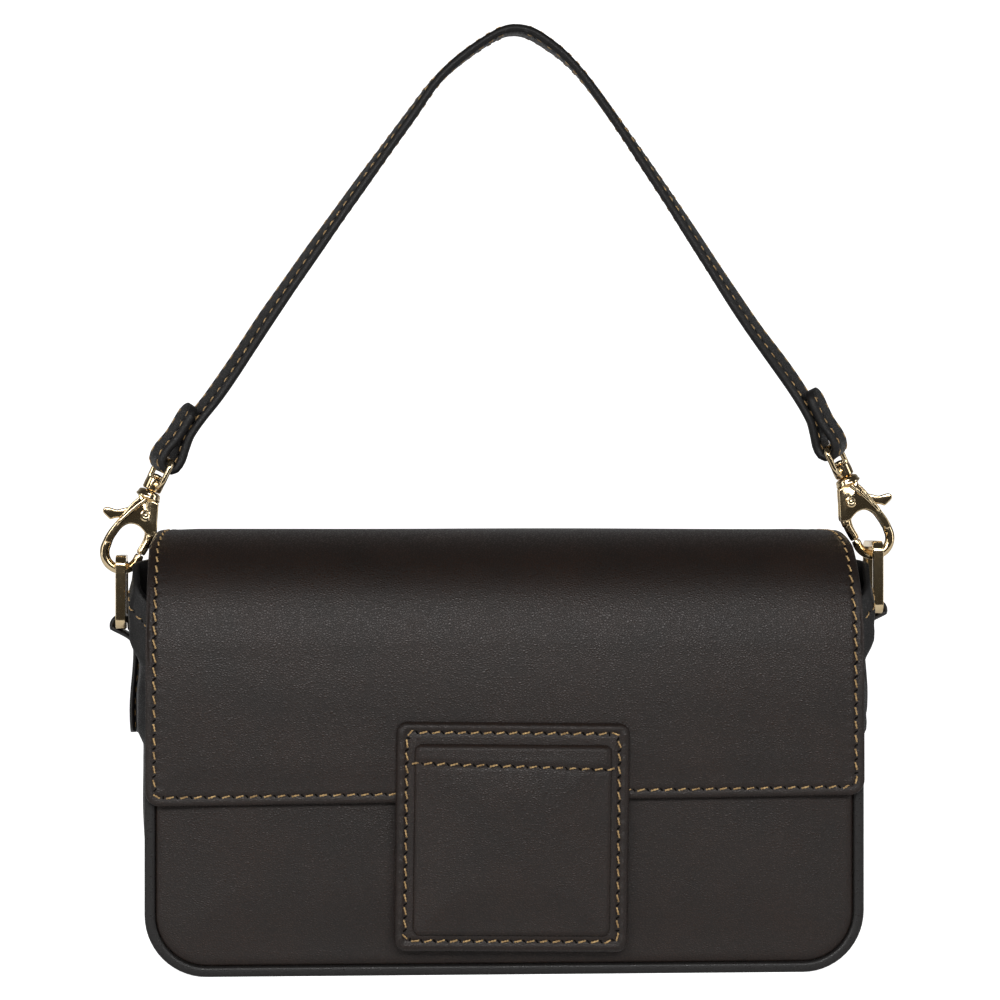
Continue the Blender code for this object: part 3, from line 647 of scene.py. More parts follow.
def sweep(name, kind, body, points, outs, backs, section, closed=False):
    """A section of (out, back) offsets carried along a line."""
    verts = []
    for point, out, back in zip(points, outs, backs):
        verts += list(point + section[:, :1] * out + section[:, 1:] * back)
    return make_piece(name, verts, tube_faces(len(points), len(section), closed=closed), kind, body)


def rounded_box(width, height, radius, count):
    """A rounded rectangle about the origin, with so many points to each corner."""
    return np.vstack([
        arc_points((across * (width / 2 - radius), up * (height / 2 - radius)), radius,
                   90 * quarter, 90 * quarter + 90, count)
        for quarter, (across, up) in enumerate(((1, 1), (-1, 1), (-1, -1), (1, -1)))
    ])


# ---------------------------------------------------------------- body

def u_frames(inset, top):
    """The body's U line the inset in from its edge, with the outward direction at each point."""
    heights = np.linspace(top, CORNER_RADIUS, 44)[:-1]
    line = u_shape(heights, half_width(heights) - inset, BODY_HALF, CORNER_RADIUS, inset, (15, 40))
    return line, -sideways(directions(line))


def edge_bands():
    """The satin leather bands round the front and back, each with a row of stitches on its arris."""
    for label, y, facing, top in (("front", FRONT_Y, -1, FRONT_HEIGHT), ("back", BACK_Y, 1, BACK_HEIGHT)):
        line, outward = u_frames(BAND_WIDTH / 2, top)
        centre = spread(line, y - facing * BAND_DEPTH / 2)
        outs = spread(outward, 0)
        backs = np.tile([0, -facing, 0], (len(line), 1))
        section = rounded_box(BAND_WIDTH + 0.1 * MM, BAND_DEPTH + 0.3 * MM, 0.95 * MM, 5)
        band = sweep(f"edge_band_{label}", "band", "root", centre, outs, backs, section)
        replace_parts(band, f"{label}_edge_band")
        lean = unit(outs * 0.8 - backs * 0.6)
        seam = Seam(3.6 * MM, radius=0.15 * MM).add(centre + lean * 1.42 * MM, lean)
        seam.make(f"edge_band_{label}_seam", "root")


def front_panel():
    """The front's crowned panel, pulled down into the seam along its band."""
    height = FRONT_HEIGHT - PANEL_INSET
    width = 2 * (BODY_HALF - PANEL_INSET)

    def place(x, z, rise):
        z = z + PANEL_INSET + height / 2
        x = x * (half_width(z) - PANEL_INSET) / (BODY_HALF - PANEL_INSET)
        return stacked(x, FRONT_Y + 2.2 * MM - rise, z)

    def relief(x, z, edge):
        crown = 0.75 * MM * smooth(edge / (24 * MM))
        ripple = 0.10 * MM * np.sin(x * 61 + 2.0 * np.sin(z * 47)) * np.sin(z * 83 + 1.3)
        return crown - 0.35 * MM * bell(edge, 0, 1.6 * MM) + ripple * smooth(edge / (9 * MM))

    panel = closed_sheet("front_panel_leather", "leather", "root", (width, height),
                         (CORNER_RADIUS - PANEL_INSET, 0.8 * MM), 2.1 * MM, place, relief)
    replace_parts(panel, "front_panel")


def rim_height(y):
    """The top of the bag's side under the flap, at a depth counted from the bag's middle."""
    reach = np.minimum(y, 1.3 * MM) - 1.3 * MM
    return 94.5 * MM + np.sqrt(np.maximum(0, (28.2 * MM) ** 2 - reach ** 2))


def gusset():
    """The side and bottom strip: it stands out between the panels and folds softly near its rim."""
    line, outward = u_frames(0.2 * MM, BACK_HEIGHT)
    half = GUSSET_HALF_DEPTH
    depths = np.linspace(-half, half, 69)
    y = np.tile(depths, (len(line), 1))
    x, z, out_x, out_z = (column[:, None] + 0 * y for column in (*line.T, *outward.T))
    side = smooth((z - 15 * MM) / (40 * MM))
    share = np.abs(y) / half
    bulge = 1.6 * MM * side * (1 - share ** 2)
    fold = smooth((share - 0.30) / 0.20) * smooth((0.97 - share) / 0.23)
    reach = 2.3 * MM * smooth((z - 66 * MM) / (8 * MM)) + 4.0 * MM * smooth((z - 96 * MM) / (11 * MM))
    reach = reach * (1 + 0.06 * np.sin(z * 420 + y * 150))
    bulge = bulge + fold * reach * (y < 0)
    bulge = bulge - 0.5 * MM * side * bell(np.abs(y), half, 2.2 * MM)
    bulge = bulge + 0.12 * MM * side * np.sin(z * 190 + y * 60)
    low = STRAIGHT_HEIGHT
    share = np.clip((z - low) / (BACK_HEIGHT - low), 0, 1)
    z = np.where(share > 0, low + share * (rim_height(y) - low), z)
    outer = stacked(x + out_x * bulge, y + MID_Y, z + out_z * bulge)
    inner = outer - stacked(out_x, 0, out_z) * GUSSET_THICKNESS
    verts = np.vstack([outer.reshape(-1, 3), inner.reshape(-1, 3)])
    # Painted shade: the gusset uses the darker copy of the leather.
    piece = make_piece("gusset_leather", verts, shell_faces(*x.shape), "dark", "root")
    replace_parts(piece, "gusset")
    seam = Seam(3.8 * MM, radius=0.19 * MM)
    for row in (3, len(line) - 4):
        normals = stacked(out_x[row], 0, 0)
        seam.add(outer[row][3:-3], normals[3:-3])
    seam.make("gusset_rim_seam", "root")


def lining():
    """The fabric inside: a loose pocket that follows the panels, the board and the rim."""
    front, back = FRONT_Y + 3.5 * MM, BACK_Y - 2.6 * MM
    middle, deep = (front + back) / 2, (back - front) / 2
    angles = np.linspace(0, math.tau, 97)[:-1]
    plan_x, plan_y = (np.sign(part) * np.abs(part) ** 0.16 for part in (np.cos(angles), np.sin(angles)))
    shares = np.concatenate([[0], np.linspace(0.02, 1, 40)])
    radius = CORNER_RADIUS - 2.6 * MM
    verts = []
    for wall in (0, POCKET_THICKNESS):
        z_low = POCKET_FLOOR + wall
        y = middle + plan_y * (deep - wall)
        top = np.where(y < front + 1.5 * MM, 90.5 * MM, rim_height(y - MID_Y) - 1.2 * MM)
        for share in shares:
            z = z_low + share * (top - z_low)
            rise = np.clip((z - z_low) / radius, 0, 1)
            tuck = radius * (1 - np.sqrt(1 - (1 - rise) ** 2))
            reach = half_width(z) - 2.7 * MM - wall - tuck
            slack = 0.35 * MM * np.sin(z * 130 + plan_x * 3) * smooth((z - z_low) / (30 * MM)) * (share < 1)
            verts += list(stacked(plan_x * (reach - np.abs(slack)), y, z))
    rows, count = len(shares), len(angles)
    size = rows * count
    faces = grid_faces(rows, count, closed=True)
    faces += [tuple(size + i for i in reversed(quad)) for quad in faces]
    top = size - count
    faces += [(top + c, top + (c + 1) % count, size + top + (c + 1) % count, size + top + c)
              for c in range(count)]
    faces += [tuple(range(count)), tuple(range(size, size + count))]
    piece = make_piece("lining_pocket", verts, faces, "lining", "root")
    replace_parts(piece, "lining")


def flap_section():
    """The outer face of flap and back panel seen from the side: places, normals and lengths along it,
    from the flap's front edge over the top and down to the foot of the back panel."""
    step = 0.5 * MM
    front = np.arange(FLAP_EDGE - FLAP_SPARE, FLAP_TOP - FLAP_RADIUS, step)
    top = np.arange(FLAP_FACE_Y + FLAP_RADIUS + step, BACK_Y - HINGE_RADIUS, step)
    back = np.arange(FLAP_TOP - HINGE_RADIUS - step, PANEL_INSET, -step)
    line = np.vstack([
        stacked(FLAP_FACE_Y, front),
        arc_points((FLAP_FACE_Y + FLAP_RADIUS, FLAP_TOP - FLAP_RADIUS), FLAP_RADIUS, 180, 90, 90),
        stacked(top, FLAP_TOP),
        arc_points((BACK_Y - HINGE_RADIUS, FLAP_TOP - HINGE_RADIUS), HINGE_RADIUS, 90, 0, 14),
        stacked(BACK_Y, back),
    ])
    return line, sideways(directions(line)), run_lengths(line) - FLAP_SPARE


SECTION, SECTION_NORMALS, SECTION_LENGTHS = flap_section()
HINGE_LENGTH = float(np.interp(BACK_HEIGHT, SECTION[::-1, 1][:200], SECTION_LENGTHS[::-1][:200]))
TOP_START = (FLAP_TOP - FLAP_RADIUS - FLAP_EDGE) + FLAP_RADIUS * math.pi / 2


def flap_half(length):
    """Half the leather's width at a length up from the flap's edge."""
    z = np.interp(length, SECTION_LENGTHS, SECTION[:, 1])
    crown = np.sqrt(np.clip((z - FLAP_CROWN) / (FLAP_TOP - FLAP_CROWN), 0, 1) * 0.5)
    flap = np.interp(z, [FLAP_EDGE, SHOULDER_HEIGHT, FLAP_CROWN],
                     [FLAP_HALF, FLAP_SHOULDER_HALF, FLAP_CROWN_HALF])
    flap = flap - (FLAP_CROWN_HALF - FLAP_TOP_HALF) * (1 - np.sqrt(1 - 2 * crown ** 2 + 1e-9))
    back = half_width(z) - PANEL_INSET
    return flap + (back - flap) * smooth((length - HINGE_LENGTH + 4.5 * MM) / (4.5 * MM))


def on_flap(x, length, height):
    """A point of the flap: x on a flap of even width, the length up from its edge, the height out."""
    slant = FLAP_SLANT / 2 * (x / FLAP_HALF) * smooth(1 - length / (60 * MM))
    length = length + slant
    x = x * flap_half(length) / FLAP_HALF
    place = at_lengths(length, SECTION_LENGTHS, SECTION)
    normal = at_lengths(length, SECTION_LENGTHS, SECTION_NORMALS)
    return stacked(x, *np.moveaxis(place + normal * np.expand_dims(height, -1), -1, 0))


def flap_relief(x, length, edge):
    """The flap's groove under the stitches, the puckers beside it, and the leather's soft waves."""
    on_front = smooth((HINGE_LENGTH - 6 * MM - length) / (4 * MM))
    along = np.where(FLAP_HALF - np.abs(x) < length, length, x)
    groove = -0.24 * MM * bell(edge, SEAM_INSET, 0.55 * MM)
    pucker = 0.13 * MM * np.cos(math.tau * along / STITCH_PITCH) * bell(edge, 4.0 * MM, 1.2 * MM)
    inside = smooth((edge - 3 * MM) / (14 * MM))
    wave = 0.16 * MM * np.sin(x * 43 + 1.1) * np.sin(length * 57 + x * 9) * inside
    crown = 0.25 * MM * smooth((edge - 3 * MM) / (10 * MM))
    ease = -1.1 * MM * bell(length, 50 * MM, 13 * MM)
    return (groove + pucker + crown + ease) * on_front + wave


def flap_leather():
    """One hide makes the flap and the back panel, so it bends where the flap is hinged."""
    total = SECTION_LENGTHS[-1]

    def place(x, z, rise):
        return on_flap(x, z + total / 2, rise - FLAP_THICKNESS)

    def relief(x, z, edge):
        return flap_relief(x, z + total / 2, edge)

    piece = closed_sheet("flap_and_back_leather", "leather", None, (2 * FLAP_HALF, total),
                         (FLAP_CORNER, CORNER_RADIUS - PANEL_INSET), FLAP_THICKNESS, place, relief,
                         under=0.45)
    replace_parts(piece, "flap_leather", "back_panel")
    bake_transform(piece)


def flap_lining():
    """The flap's inner layer, a little short of the leather all round."""
    inset = 0.5 * MM
    total = HINGE_LENGTH - 7 * MM

    def place(x, z, rise):
        length = z + inset + total / 2
        return on_flap(x, length, rise - FLAP_THICKNESS - FLAP_LINING_THICKNESS - 0.1 * MM)

    piece = closed_sheet("flap_lining_fabric", "lining", "flap", (2 * (FLAP_HALF - inset), total),
                         (FLAP_CORNER - inset, 0.6 * MM), FLAP_LINING_THICKNESS, place, step=2.5 * MM)
    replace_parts(piece, "flap_lining")


def flap_seam():
    """One row of stitches down the flap's left side, along its front and up its right side."""
    lengths = np.arange(TOP_START + 22 * MM, FLAP_CORNER, -1 * MM)
    line = u_shape(lengths, FLAP_HALF - SEAM_INSET, FLAP_HALF, FLAP_CORNER, SEAM_INSET, (8, 60))
    normals = unit(on_flap(*line.T, 1 * MM) - on_flap(*line.T, 0.0))
    Seam().add(on_flap(*line.T, -0.14 * MM), normals).make("flap_seam", "flap")


# ---------------------------------------------------------------- closure tab

TAB_MATRIX = np.array(Matrix.Translation(TAB_CENTRE) @ Matrix.Rotation(-TAB_TURN, 4, "Y"))


def on_tab(x, z, rise):
    """A point on the tab: x and z from its middle, the rise out from its back."""
    return turned(stacked(x, -np.asarray(rise), z), TAB_MATRIX)


def closure_tab():
    """The tab's sewn square and, on it, the padded square with its turned hem."""
    seam_x, seam_z = (size / 2 - TAB_SEAM_INSET for size in TAB_SIZE)

    def tab_relief(x, z, edge):
        along = np.where(np.abs(x) / TAB_SIZE[0] > np.abs(z) / TAB_SIZE[1], z, x)
        groove = -0.34 * MM * bell(edge, TAB_SEAM_INSET, 0.5 * MM)
        pucker = 0.10 * MM * np.cos(math.tau * along / TAB_PITCH) * bell(edge, 1.7 * MM, 0.9 * MM)
        return groove + pucker + 0.10 * MM * bell(edge, 1.4 * MM, 0.8 * MM)

    tab = closed_sheet("closure_tab_leather", "leather", "flap", TAB_SIZE, (TAB_CORNER, TAB_CORNER),
                       TAB_THICKNESS, on_tab, tab_relief, step=0.9 * MM)
    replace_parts(tab, "closure_tab")

    hem = PAD_SIZE[1] / 2 - HEM_INSET

    def pad_place(x, z, rise):
        return on_tab(x, z - PAD_DROP, rise + TAB_THICKNESS - PAD_SINK)

    def pad_relief(x, z, edge):
        crown = 0.55 * MM * smooth(edge / (16 * MM))
        above = z + HEM_SLOPE * x - hem
        seam = -0.36 * MM * bell(above, 0, 0.5 * MM)
        pucker = 0.10 * MM * np.cos(math.tau * x / TAB_PITCH) * bell(above, -1.2 * MM, 0.8 * MM)
        fold = 0.30 * MM * smooth((above + 0.2 * MM) / (0.8 * MM)) * smooth((edge - 0.4 * MM) / (1.2 * MM))
        soft = 0.10 * MM * np.sin(x * 120 + 0.7) * np.sin(z * 97 + 0.4) * smooth(edge / (8 * MM))
        return crown + seam + pucker + fold + soft

    pad = closed_sheet("closure_pad_leather", "leather", "flap", PAD_SIZE, (2.2 * MM, 2.2 * MM),
                       PAD_RISE + PAD_SINK, pad_place, pad_relief, step=0.9 * MM, under=0.15)
    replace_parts(pad, "closure_tab_panel")

    outline = rounded_box(2 * seam_x, 2 * seam_z, 1.2 * MM, 7)
    facing = -TAB_MATRIX[:3, 1]
    seam = Seam(TAB_PITCH).add(on_tab(*outline.T, TAB_THICKNESS - 0.12 * MM),
                               np.tile(facing, (len(outline), 1)), closed=True)
    row = np.linspace(-seam_x + 1.0 * MM, seam_x - 1.0 * MM, 90)
    on_pad = smooth((PAD_SIZE[0] / 2 + 0.2 * MM - np.abs(row)) / (0.9 * MM))
    rise = TAB_THICKNESS + PAD_RISE * on_pad + 0.17 * MM * on_pad + 0.02 * MM
    seam.add(on_tab(row, hem - PAD_DROP - HEM_SLOPE * row, rise), np.tile(facing, (len(row), 1)))
    seam.make("closure_tab_seam", "flap")


# ---------------------------------------------------------------- side loops and rings

STRIP_ENDS = (0.15, 0.4, 0.8, 1.3, 2.0, 3.0)


def even_line(points, step, ends):
    """The line's points moved to even steps, with extra ones some millimetres from both ends."""
    lengths = run_lengths(points)
    total = lengths[-1]
    ends = np.array(ends) * MM
    wanted = np.linspace(0, total, max(3, round(total / step) + 1))
    wanted = np.unique(np.round(np.clip([*wanted, *ends, *(total - ends)], 0, total), 8))
    return at_lengths(wanted, lengths, points)


def bow_place(label):
    """The middle of the hook's bow, as x, z."""
    return SIDES[label] * CLASP_SPREAD, CLASP_HEIGHT - (LEFT_DROP if label == "left" else 0)


def ring_bar(label):
    """The middle of the bar at the ring's foot, as x, z."""
    x, z = bow_place(label)
    return x, z - RING_BAR_DROP


def ring_loop(label):
    """A leather loop: one strip folded over the ring's bar, its two layers sewn to the bag's side."""
    side = SIDES[label]
    bar_x, bar_z = ring_bar(label)
    bottom, bend_at = bar_z - LOOP_LENGTH, bar_z - 5.2 * MM
    lean = float(half_width(bend_at) - half_width(bottom))
    inner = float(half_width(bottom)) + 2.8 * MM
    outer = inner + 1.7 * MM
    around = arc_points((abs(bar_x), bar_z), 2.7 * MM, 196, -14, 26)
    path = [(inner, bottom), (inner + 0.2 * MM, bottom + 9 * MM), (inner + lean, bend_at - 6 * MM),
            (inner + lean + 0.1 * MM, bend_at), *around,
            (outer + lean + 1.1 * MM, bend_at + 1.2 * MM), (outer + lean, bend_at - 3.5 * MM),
            (outer + 0.2 * MM, bottom + 9 * MM), (outer, bottom)]
    line = even_line(spread(catmull(path, 5) * (side, 1), MID_Y), 0.9 * MM, STRIP_ENDS[:4])
    widths = np.tile([0, side, 0], (len(line), 1))
    loop = leather_strip(f"ring_loop_{label}_leather", "edge", "root", line, widths, LOOP_WIDTH,
                         LOOP_THICKNESS, tip_low=3 * MM, tip_high=3 * MM)
    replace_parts(loop, f"ring_loop_{label}")
    seam = Seam(3.4 * MM, radius=0.17 * MM)
    for offset in (-5.0 * MM, 5.0 * MM):
        strip_seam(seam, line, widths, offset, LOOP_THICKNESS, -1, skip=(len(line) // 2 + 12, 4))
    seam.make(f"ring_loop_{label}_seam", "root")


def ring(label):
    """A rectangular ring of polished flat band with rounded corners."""
    bar_x, bar_z = ring_bar(label)
    middle = bar_z + RING_HEIGHT / 2
    outline = rounded_box(RING_WIDTH, RING_HEIGHT, 2.2 * MM, 9)
    points = stacked(bar_x, MID_Y + outline[:, 0], middle + outline[:, 1])
    backs = np.tile([1.0, 0, 0], (len(points), 1))
    outs = np.cross(directions(points, closed=True), backs)
    piece = sweep(f"ring_{label}_band", "gold", f"ring_{label}", points, outs, backs,
                  rounded_box(*RING_BAND, 0.28 * MM, 4), closed=True)
    sharpen(piece)
    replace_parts(piece, f"ring_{label}")


def sharpen(piece, angle=38):
    """Keeps the shading crisp across edges sharper than the angle."""
    piece.data.set_sharp_from_angle(angle=math.radians(angle))


# ---------------------------------------------------------------- swivel clasps

class Shape:
    """Several closed surfaces gathered into one piece."""

    def __init__(self, turn):
        self.turn = turn
        self.verts, self.faces = [], []

    def put(self, verts, faces):
        start = len(self.verts)
        self.verts += list(turned(np.asarray(verts, float), self.turn))
        self.faces += [tuple(start + i for i in face) for face in faces]

    def wire(self, points, radii, sides=18, closed=False):
        """A round wire along the points."""
        radii = np.broadcast_to(radii, len(points))
        along = directions(points, closed)
        side = np.cross(along[0], [0, 1, 0] if abs(along[0][1]) < 0.9 else [1, 0, 0])
        verts = []
        for point, way, radius in zip(points, along, radii):
            side = side - way * np.dot(side, way)
            side = side / np.linalg.norm(side)
            verts += circle(point, side * radius, np.cross(way, side) * radius, sides)
        self.put(verts, tube_faces(len(points), sides, closed=closed))

    def lathe(self, profile, steps=36, centre=(0, 0, 0), axis=2):
        """A profile of (radius, height) in millimetres, turned about Z or, with axis 1, about Y."""
        across, second, up = np.eye(3)[[0, 3 - axis, axis]]
        verts = []
        for radius, height in np.array(profile) * MM:
            verts += circle(centre + up * height, across * radius, second * radius, steps)
        self.put(verts, tube_faces(len(profile), steps))

    def plate(self, outline, low, high, bevel):
        """A flat outline of x, s points between two depths, with rounded arrises."""
        area = np.sum(outline[:, 0] * np.roll(outline[:, 1], -1) - np.roll(outline[:, 0], -1) * outline[:, 1])
        inward = sideways(directions(outline, closed=True)) * math.copysign(1, area)
        turns = np.linspace(0, math.pi / 2, 4)
        rings = [(turn, low, 1) for turn in turns] + [(turn, high, -1) for turn in turns[::-1]]
        verts = []
        for turn, face, way in rings:
            flat = outline + inward * (bevel * (1 - math.sin(turn)))
            verts += list(spread(flat, face + way * bevel * (1 - math.cos(turn))))
        self.put(verts, tube_faces(len(rings), len(outline)))

    def make(self, name, kind, body, angle=38):
        piece = make_piece(name, self.verts, self.faces, kind, body)
        sharpen(piece, angle)
        return piece


def clasp_turn(label, turn=0.0):
    """The frame of a clasp: x outwards, z up along the clasp, from the middle of its bow."""
    side = SIDES[label]
    x, z = bow_place(label)
    lean = Matrix.Rotation(-side * CLASP_LEAN[label], 4, "Y") @ Matrix.Rotation(turn, 4, "Z")
    return np.array(Matrix.Translation((x, MID_Y, z)) @ lean @ Matrix.Diagonal((side, 1, 1, 1)))


# Outlines of the clasp's flat parts, as shares of the hook's length from the middle of its bow
HOOK_PLATE = (
    (-0.170, 0.985), (-0.222, 0.930), (-0.300, 0.730), (-0.385, 0.515), (-0.350, 0.455), (-0.240, 0.440),
    (-0.165, 0.474), (-0.075, 0.506), (0.022, 0.503), (0.112, 0.455), (0.178, 0.355), (0.212, 0.195),
    (0.235, 0.060), (0.330, 0.060), (0.335, 0.195), (0.300, 0.395), (0.205, 0.780), (0.140, 0.930),
    (0.120, 0.985),
)
GATE = (
    (-0.030, 0.808), (0.165, 0.745), (0.262, 0.690), (0.367, 0.608), (0.450, 0.590), (0.530, 0.578),
    (0.574, 0.540), (0.576, 0.495), (0.545, 0.458), (0.470, 0.430), (0.400, 0.412), (0.350, 0.455),
    (0.195, 0.550), (0.030, 0.600), (-0.085, 0.575), (-0.200, 0.450), (-0.228, 0.300), (-0.217, 0.112),
    (-0.328, 0.112), (-0.366, 0.330), (-0.383, 0.480), (-0.300, 0.665), (-0.200, 0.790),
)


def closed_curve(shares, size, per_span=4):
    """A smooth closed outline through points given as shares of a size."""
    points = np.array(shares) * size
    line = catmull(np.vstack([points[-2:], points, points[:3]]), per_span)
    return line[2 * per_span:(len(points) + 2) * per_span]


def millimetre_curve(points, per_span):
    return catmull(np.array(points) * MM, per_span)


def taper(line, shares, radii):
    """A radius in metres at each point of a line, from radii in millimetres at shares of it."""
    return np.interp(np.linspace(0, 1, len(line)), shares, np.array(radii) * MM)


def hook(label):
    """The clasp's hook: two cheeks with a slot between, rails on its outer side, a round bow, a
    flanged neck and the stem that turns in the bail's boss."""
    turn = clasp_turn(label)
    shape = Shape(turn)
    outline = closed_curve(HOOK_PLATE, HOOK_LENGTH)
    for low, high in ((-2.2 * MM, -1.28 * MM), (1.28 * MM, 2.2 * MM)):
        shape.plate(outline, low, high, 0.36 * MM)
    rail = millimetre_curve(((0.2, 17.2), (1.7, 14.5), (3.3, 10.9), (4.5, 7.6), (5.05, 4.6)), 8)
    for depth in (-1.75 * MM, 1.75 * MM):
        line = spread(rail, depth)
        line[-10:, 1] = np.linspace(depth, depth * 0.35, 10)
        shape.wire(line, np.linspace(0.95 * MM, 0.85 * MM, len(line)))
    bow = catmull([*(np.array([(4.1, 8.4), (4.9, 5.0), (5.2, 2.4)]) * MM),
                   *arc_points((0, 0), BOW_RADIUS, 0, -176, 22), (-BOW_RADIUS, 1.5 * MM)], 3)
    radii = taper(bow, (0, 0.12, 0.3, 0.85, 0.985, 1), (1.1, 1.46, 1.45, 1.4, 1.4, 1.2))
    shape.wire(spread(bow, 0), radii, 22)
    shape.lathe((
        (0.4, 16.6), (2.1, 16.8), (3.0, 17.5), (3.75, 17.9), (3.8, 18.3), (3.55, 18.65), (3.5, 19.2),
        (3.3, 19.7), (2.5, 20.1), (1.3, 20.2), (1.1, 20.5), (1.1, 24.2), (1.6, 24.3), (1.85, 24.6),
        (1.8, 25.0), (1.3, 25.35), (0.4, 25.5),
    ))
    piece = shape.make(f"hook_{label}_casting", "gold", f"hook_{label}", 50)
    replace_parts(piece, f"hook_{label}")
    pin = Shape(turn)
    head = np.array([(1.7, 2.1), (1.72, 2.45), (1.6, 2.72), (1.3, 2.82), (1.05, 2.72), (0.85, 2.5),
                     (0.5, 2.42), (0.3, 2.5), (0.05, 2.52)])
    for profile, steps in ((head * (1, -1), 28), (head, 28), (((0.9, -2.3), (0.9, 2.3)), 20)):
        pin.lathe(profile, steps, RIVET, axis=1)
    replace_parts(pin.make(f"gate_rivet_{label}_pin", "gold", f"hook_{label}"), f"gate_rivet_{label}")
    coil = Shape(turn)
    turns = np.linspace(0, 3.5, 71)
    angles = turns * math.tau
    coil.wire(stacked(1.6 * MM + 0.8 * MM * np.cos(angles), 0.8 * MM * np.sin(angles),
                      14.75 * MM + turns / 3.5 * 1.4 * MM), 0.16 * MM, 8)
    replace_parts(coil.make(f"gate_spring_{label}_coil", "steel", f"hook_{label}"), f"gate_spring_{label}")


def gate(label):
    """The sprung gate: a thumb lever outside, an arm with a collar that closes the bow inside."""
    shape = Shape(clasp_turn(label))
    shape.plate(closed_curve(GATE, HOOK_LENGTH), -1.0 * MM, 1.0 * MM, 0.42 * MM)
    arm = millimetre_curve(((-4.0, 11.2), (-5.1, 9.0), (-5.55, 6.6), (-5.4, 4.2), (-5.12, 1.95)), 8)
    shape.wire(spread(arm, 0), taper(arm, (0, 0.25, 0.96, 1), (0.5, 1.22, 1.36, 1.18)), 22)
    collar = millimetre_curve(((-5.35, 8.3), (-5.5, 7.4), (-5.55, 6.5)), 4)
    shape.wire(spread(collar, 0), taper(collar, (0, 0.2, 0.8, 1), (1.3, 1.52, 1.52, 1.3)), 22)
    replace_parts(shape.make(f"gate_{label}_lever", "gold", f"gate_{label}", 50), f"gate_{label}")


def bail(label):
    """The wire loop that holds the strap, with the boss in which the hook's stem turns."""
    shape = Shape(clasp_turn(label, BAIL_TURN[label]))
    outline = rounded_box(BAIL_WIDTH, BAIL_HEIGHT, 2.2 * MM, 9)
    shape.wire(stacked(0, outline[:, 0], outline[:, 1] + BAIL_RISE), BAIL_WIRE_RADIUS, closed=True)
    shape.lathe(((1.45, 20.25), (2.5, 20.3), (2.9, 20.65), (2.95, 22.2), (2.9, 23.75), (2.5, 24.1),
                 (1.45, 24.15)))
    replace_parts(shape.make(f"bail_{label}_wire", "gold", f"clasp_{label}"), f"bail_{label}")


def snap():
    """The magnetic snap: a dished socket on the front panel and the stud on the tab's back."""
    where = np.array(Matrix.Translation((TAB_CENTRE.x, 0, 30 * MM)))
    socket = Shape(where)
    socket.lathe(((2.5, 0.0), (2.5, -0.8), (2.8, -1.2), (3.8, -1.35), (4.6, -1.0), (5.4, -0.95), (6.3, -0.85),
                  (6.9, -0.6), (7.0, -0.2), (6.9, 0.0)), 48, (0, FRONT_Y - 0.1 * MM, 0), axis=1)
    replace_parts(socket.make("snap_socket_dish", "gold", "root"), "snap_socket")
    stud = Shape(where)
    stud.lathe(((6.9, -0.9), (7.0, -0.5), (6.8, -0.1), (5.6, 0.1), (3.0, 0.1), (2.4, 0.3), (2.3, 1.0),
                (2.0, 1.2), (0.2, 1.25)), 48, (0, FRONT_Y - 2.4 * MM, 0), axis=1)
    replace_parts(stud.make("snap_stud_button", "gold", "flap"), "snap_stud")


# ---------------------------------------------------------------- strap

# The arch: its points as shares of half the span and of the rise, and which of them is the top
ARCH = (
    (0.837, 0.200), (0.545, 0.567), (0.295, 0.860), (0.150, 0.970), (0.048, 1.000),
    (-0.050, 0.968), (-0.199, 0.871), (-0.321, 0.738), (-0.556, 0.469), (-0.773, 0.212),
)
APEX_SPAN = 5

# The strap's end above the crossbar, as shares of its length: how far each layer has closed on the
# other, and its height
STRAP_MAIN = (
    (0.005, 0.100), (0.033, 0.210), (0.052, 0.304), (0.073, 0.420), (0.070, 0.540), (0.057, 0.678),
    (0.035, 0.840), (0.010, 1.000),
)
STRAP_TAIL = (
    (0.051, 0.840), (0.046, 0.700), (0.049, 0.540), (0.048, 0.430), (0.041, 0.330), (0.022, 0.230),
    (0.000, 0.120),
)


def end_point(shares, way, sway):
    """A point of the strap's end: way is -1 on its main, inner layer and 1 on its tail."""
    closed, rise = shares
    inward = FOLD_SHIFT + STRAP_END_LENGTH * rise * math.tan(sway)
    return way * (FOLD_RADIUS - STRAP_END_LENGTH * closed) - inward, CROSSBAR + STRAP_END_LENGTH * rise


def strap_end(label):
    """The strap's end from the tail's tip, down round the bail's bar and up the main layer."""
    turn = clasp_turn(label, BAIL_TURN[label])
    sway = STRAP_END_SWAY[label]
    line = catmull([*(end_point(shares, 1, sway) for shares in STRAP_TAIL),
                    *arc_points((-FOLD_SHIFT, CROSSBAR), FOLD_RADIUS, 0, -180, 9),
                    *(end_point(shares, -1, sway) for shares in STRAP_MAIN)], 6)
    return turned(spread(line, 0), turn), turn[:3, 1]


def arch_lines():
    """The strap's arch as two lines, each from its clasp's end up to the top."""
    ends = {label: strap_end(label)[0] for label in SIDES}
    right, left = ends["right"][-1], ends["left"][-1]
    half_span = (right[0] - left[0]) / 2
    rise = STRAP_APEX - right[2]
    reach = half_span * ARCH[0][0] / 2
    before, after = (end[-1] - unit(end[-1] - end[-4]) * reach for end in (ends["right"], ends["left"]))
    middle = [(x * half_span, MID_Y, right[2] + rise * z) for x, z in ARCH]
    per_span = 12
    line = catmull([before, right, *middle, left, after], per_span)[per_span:-per_span]
    apex = APEX_SPAN * per_span
    return {"right": line[:apex + 1], "left": line[apex:][::-1]}


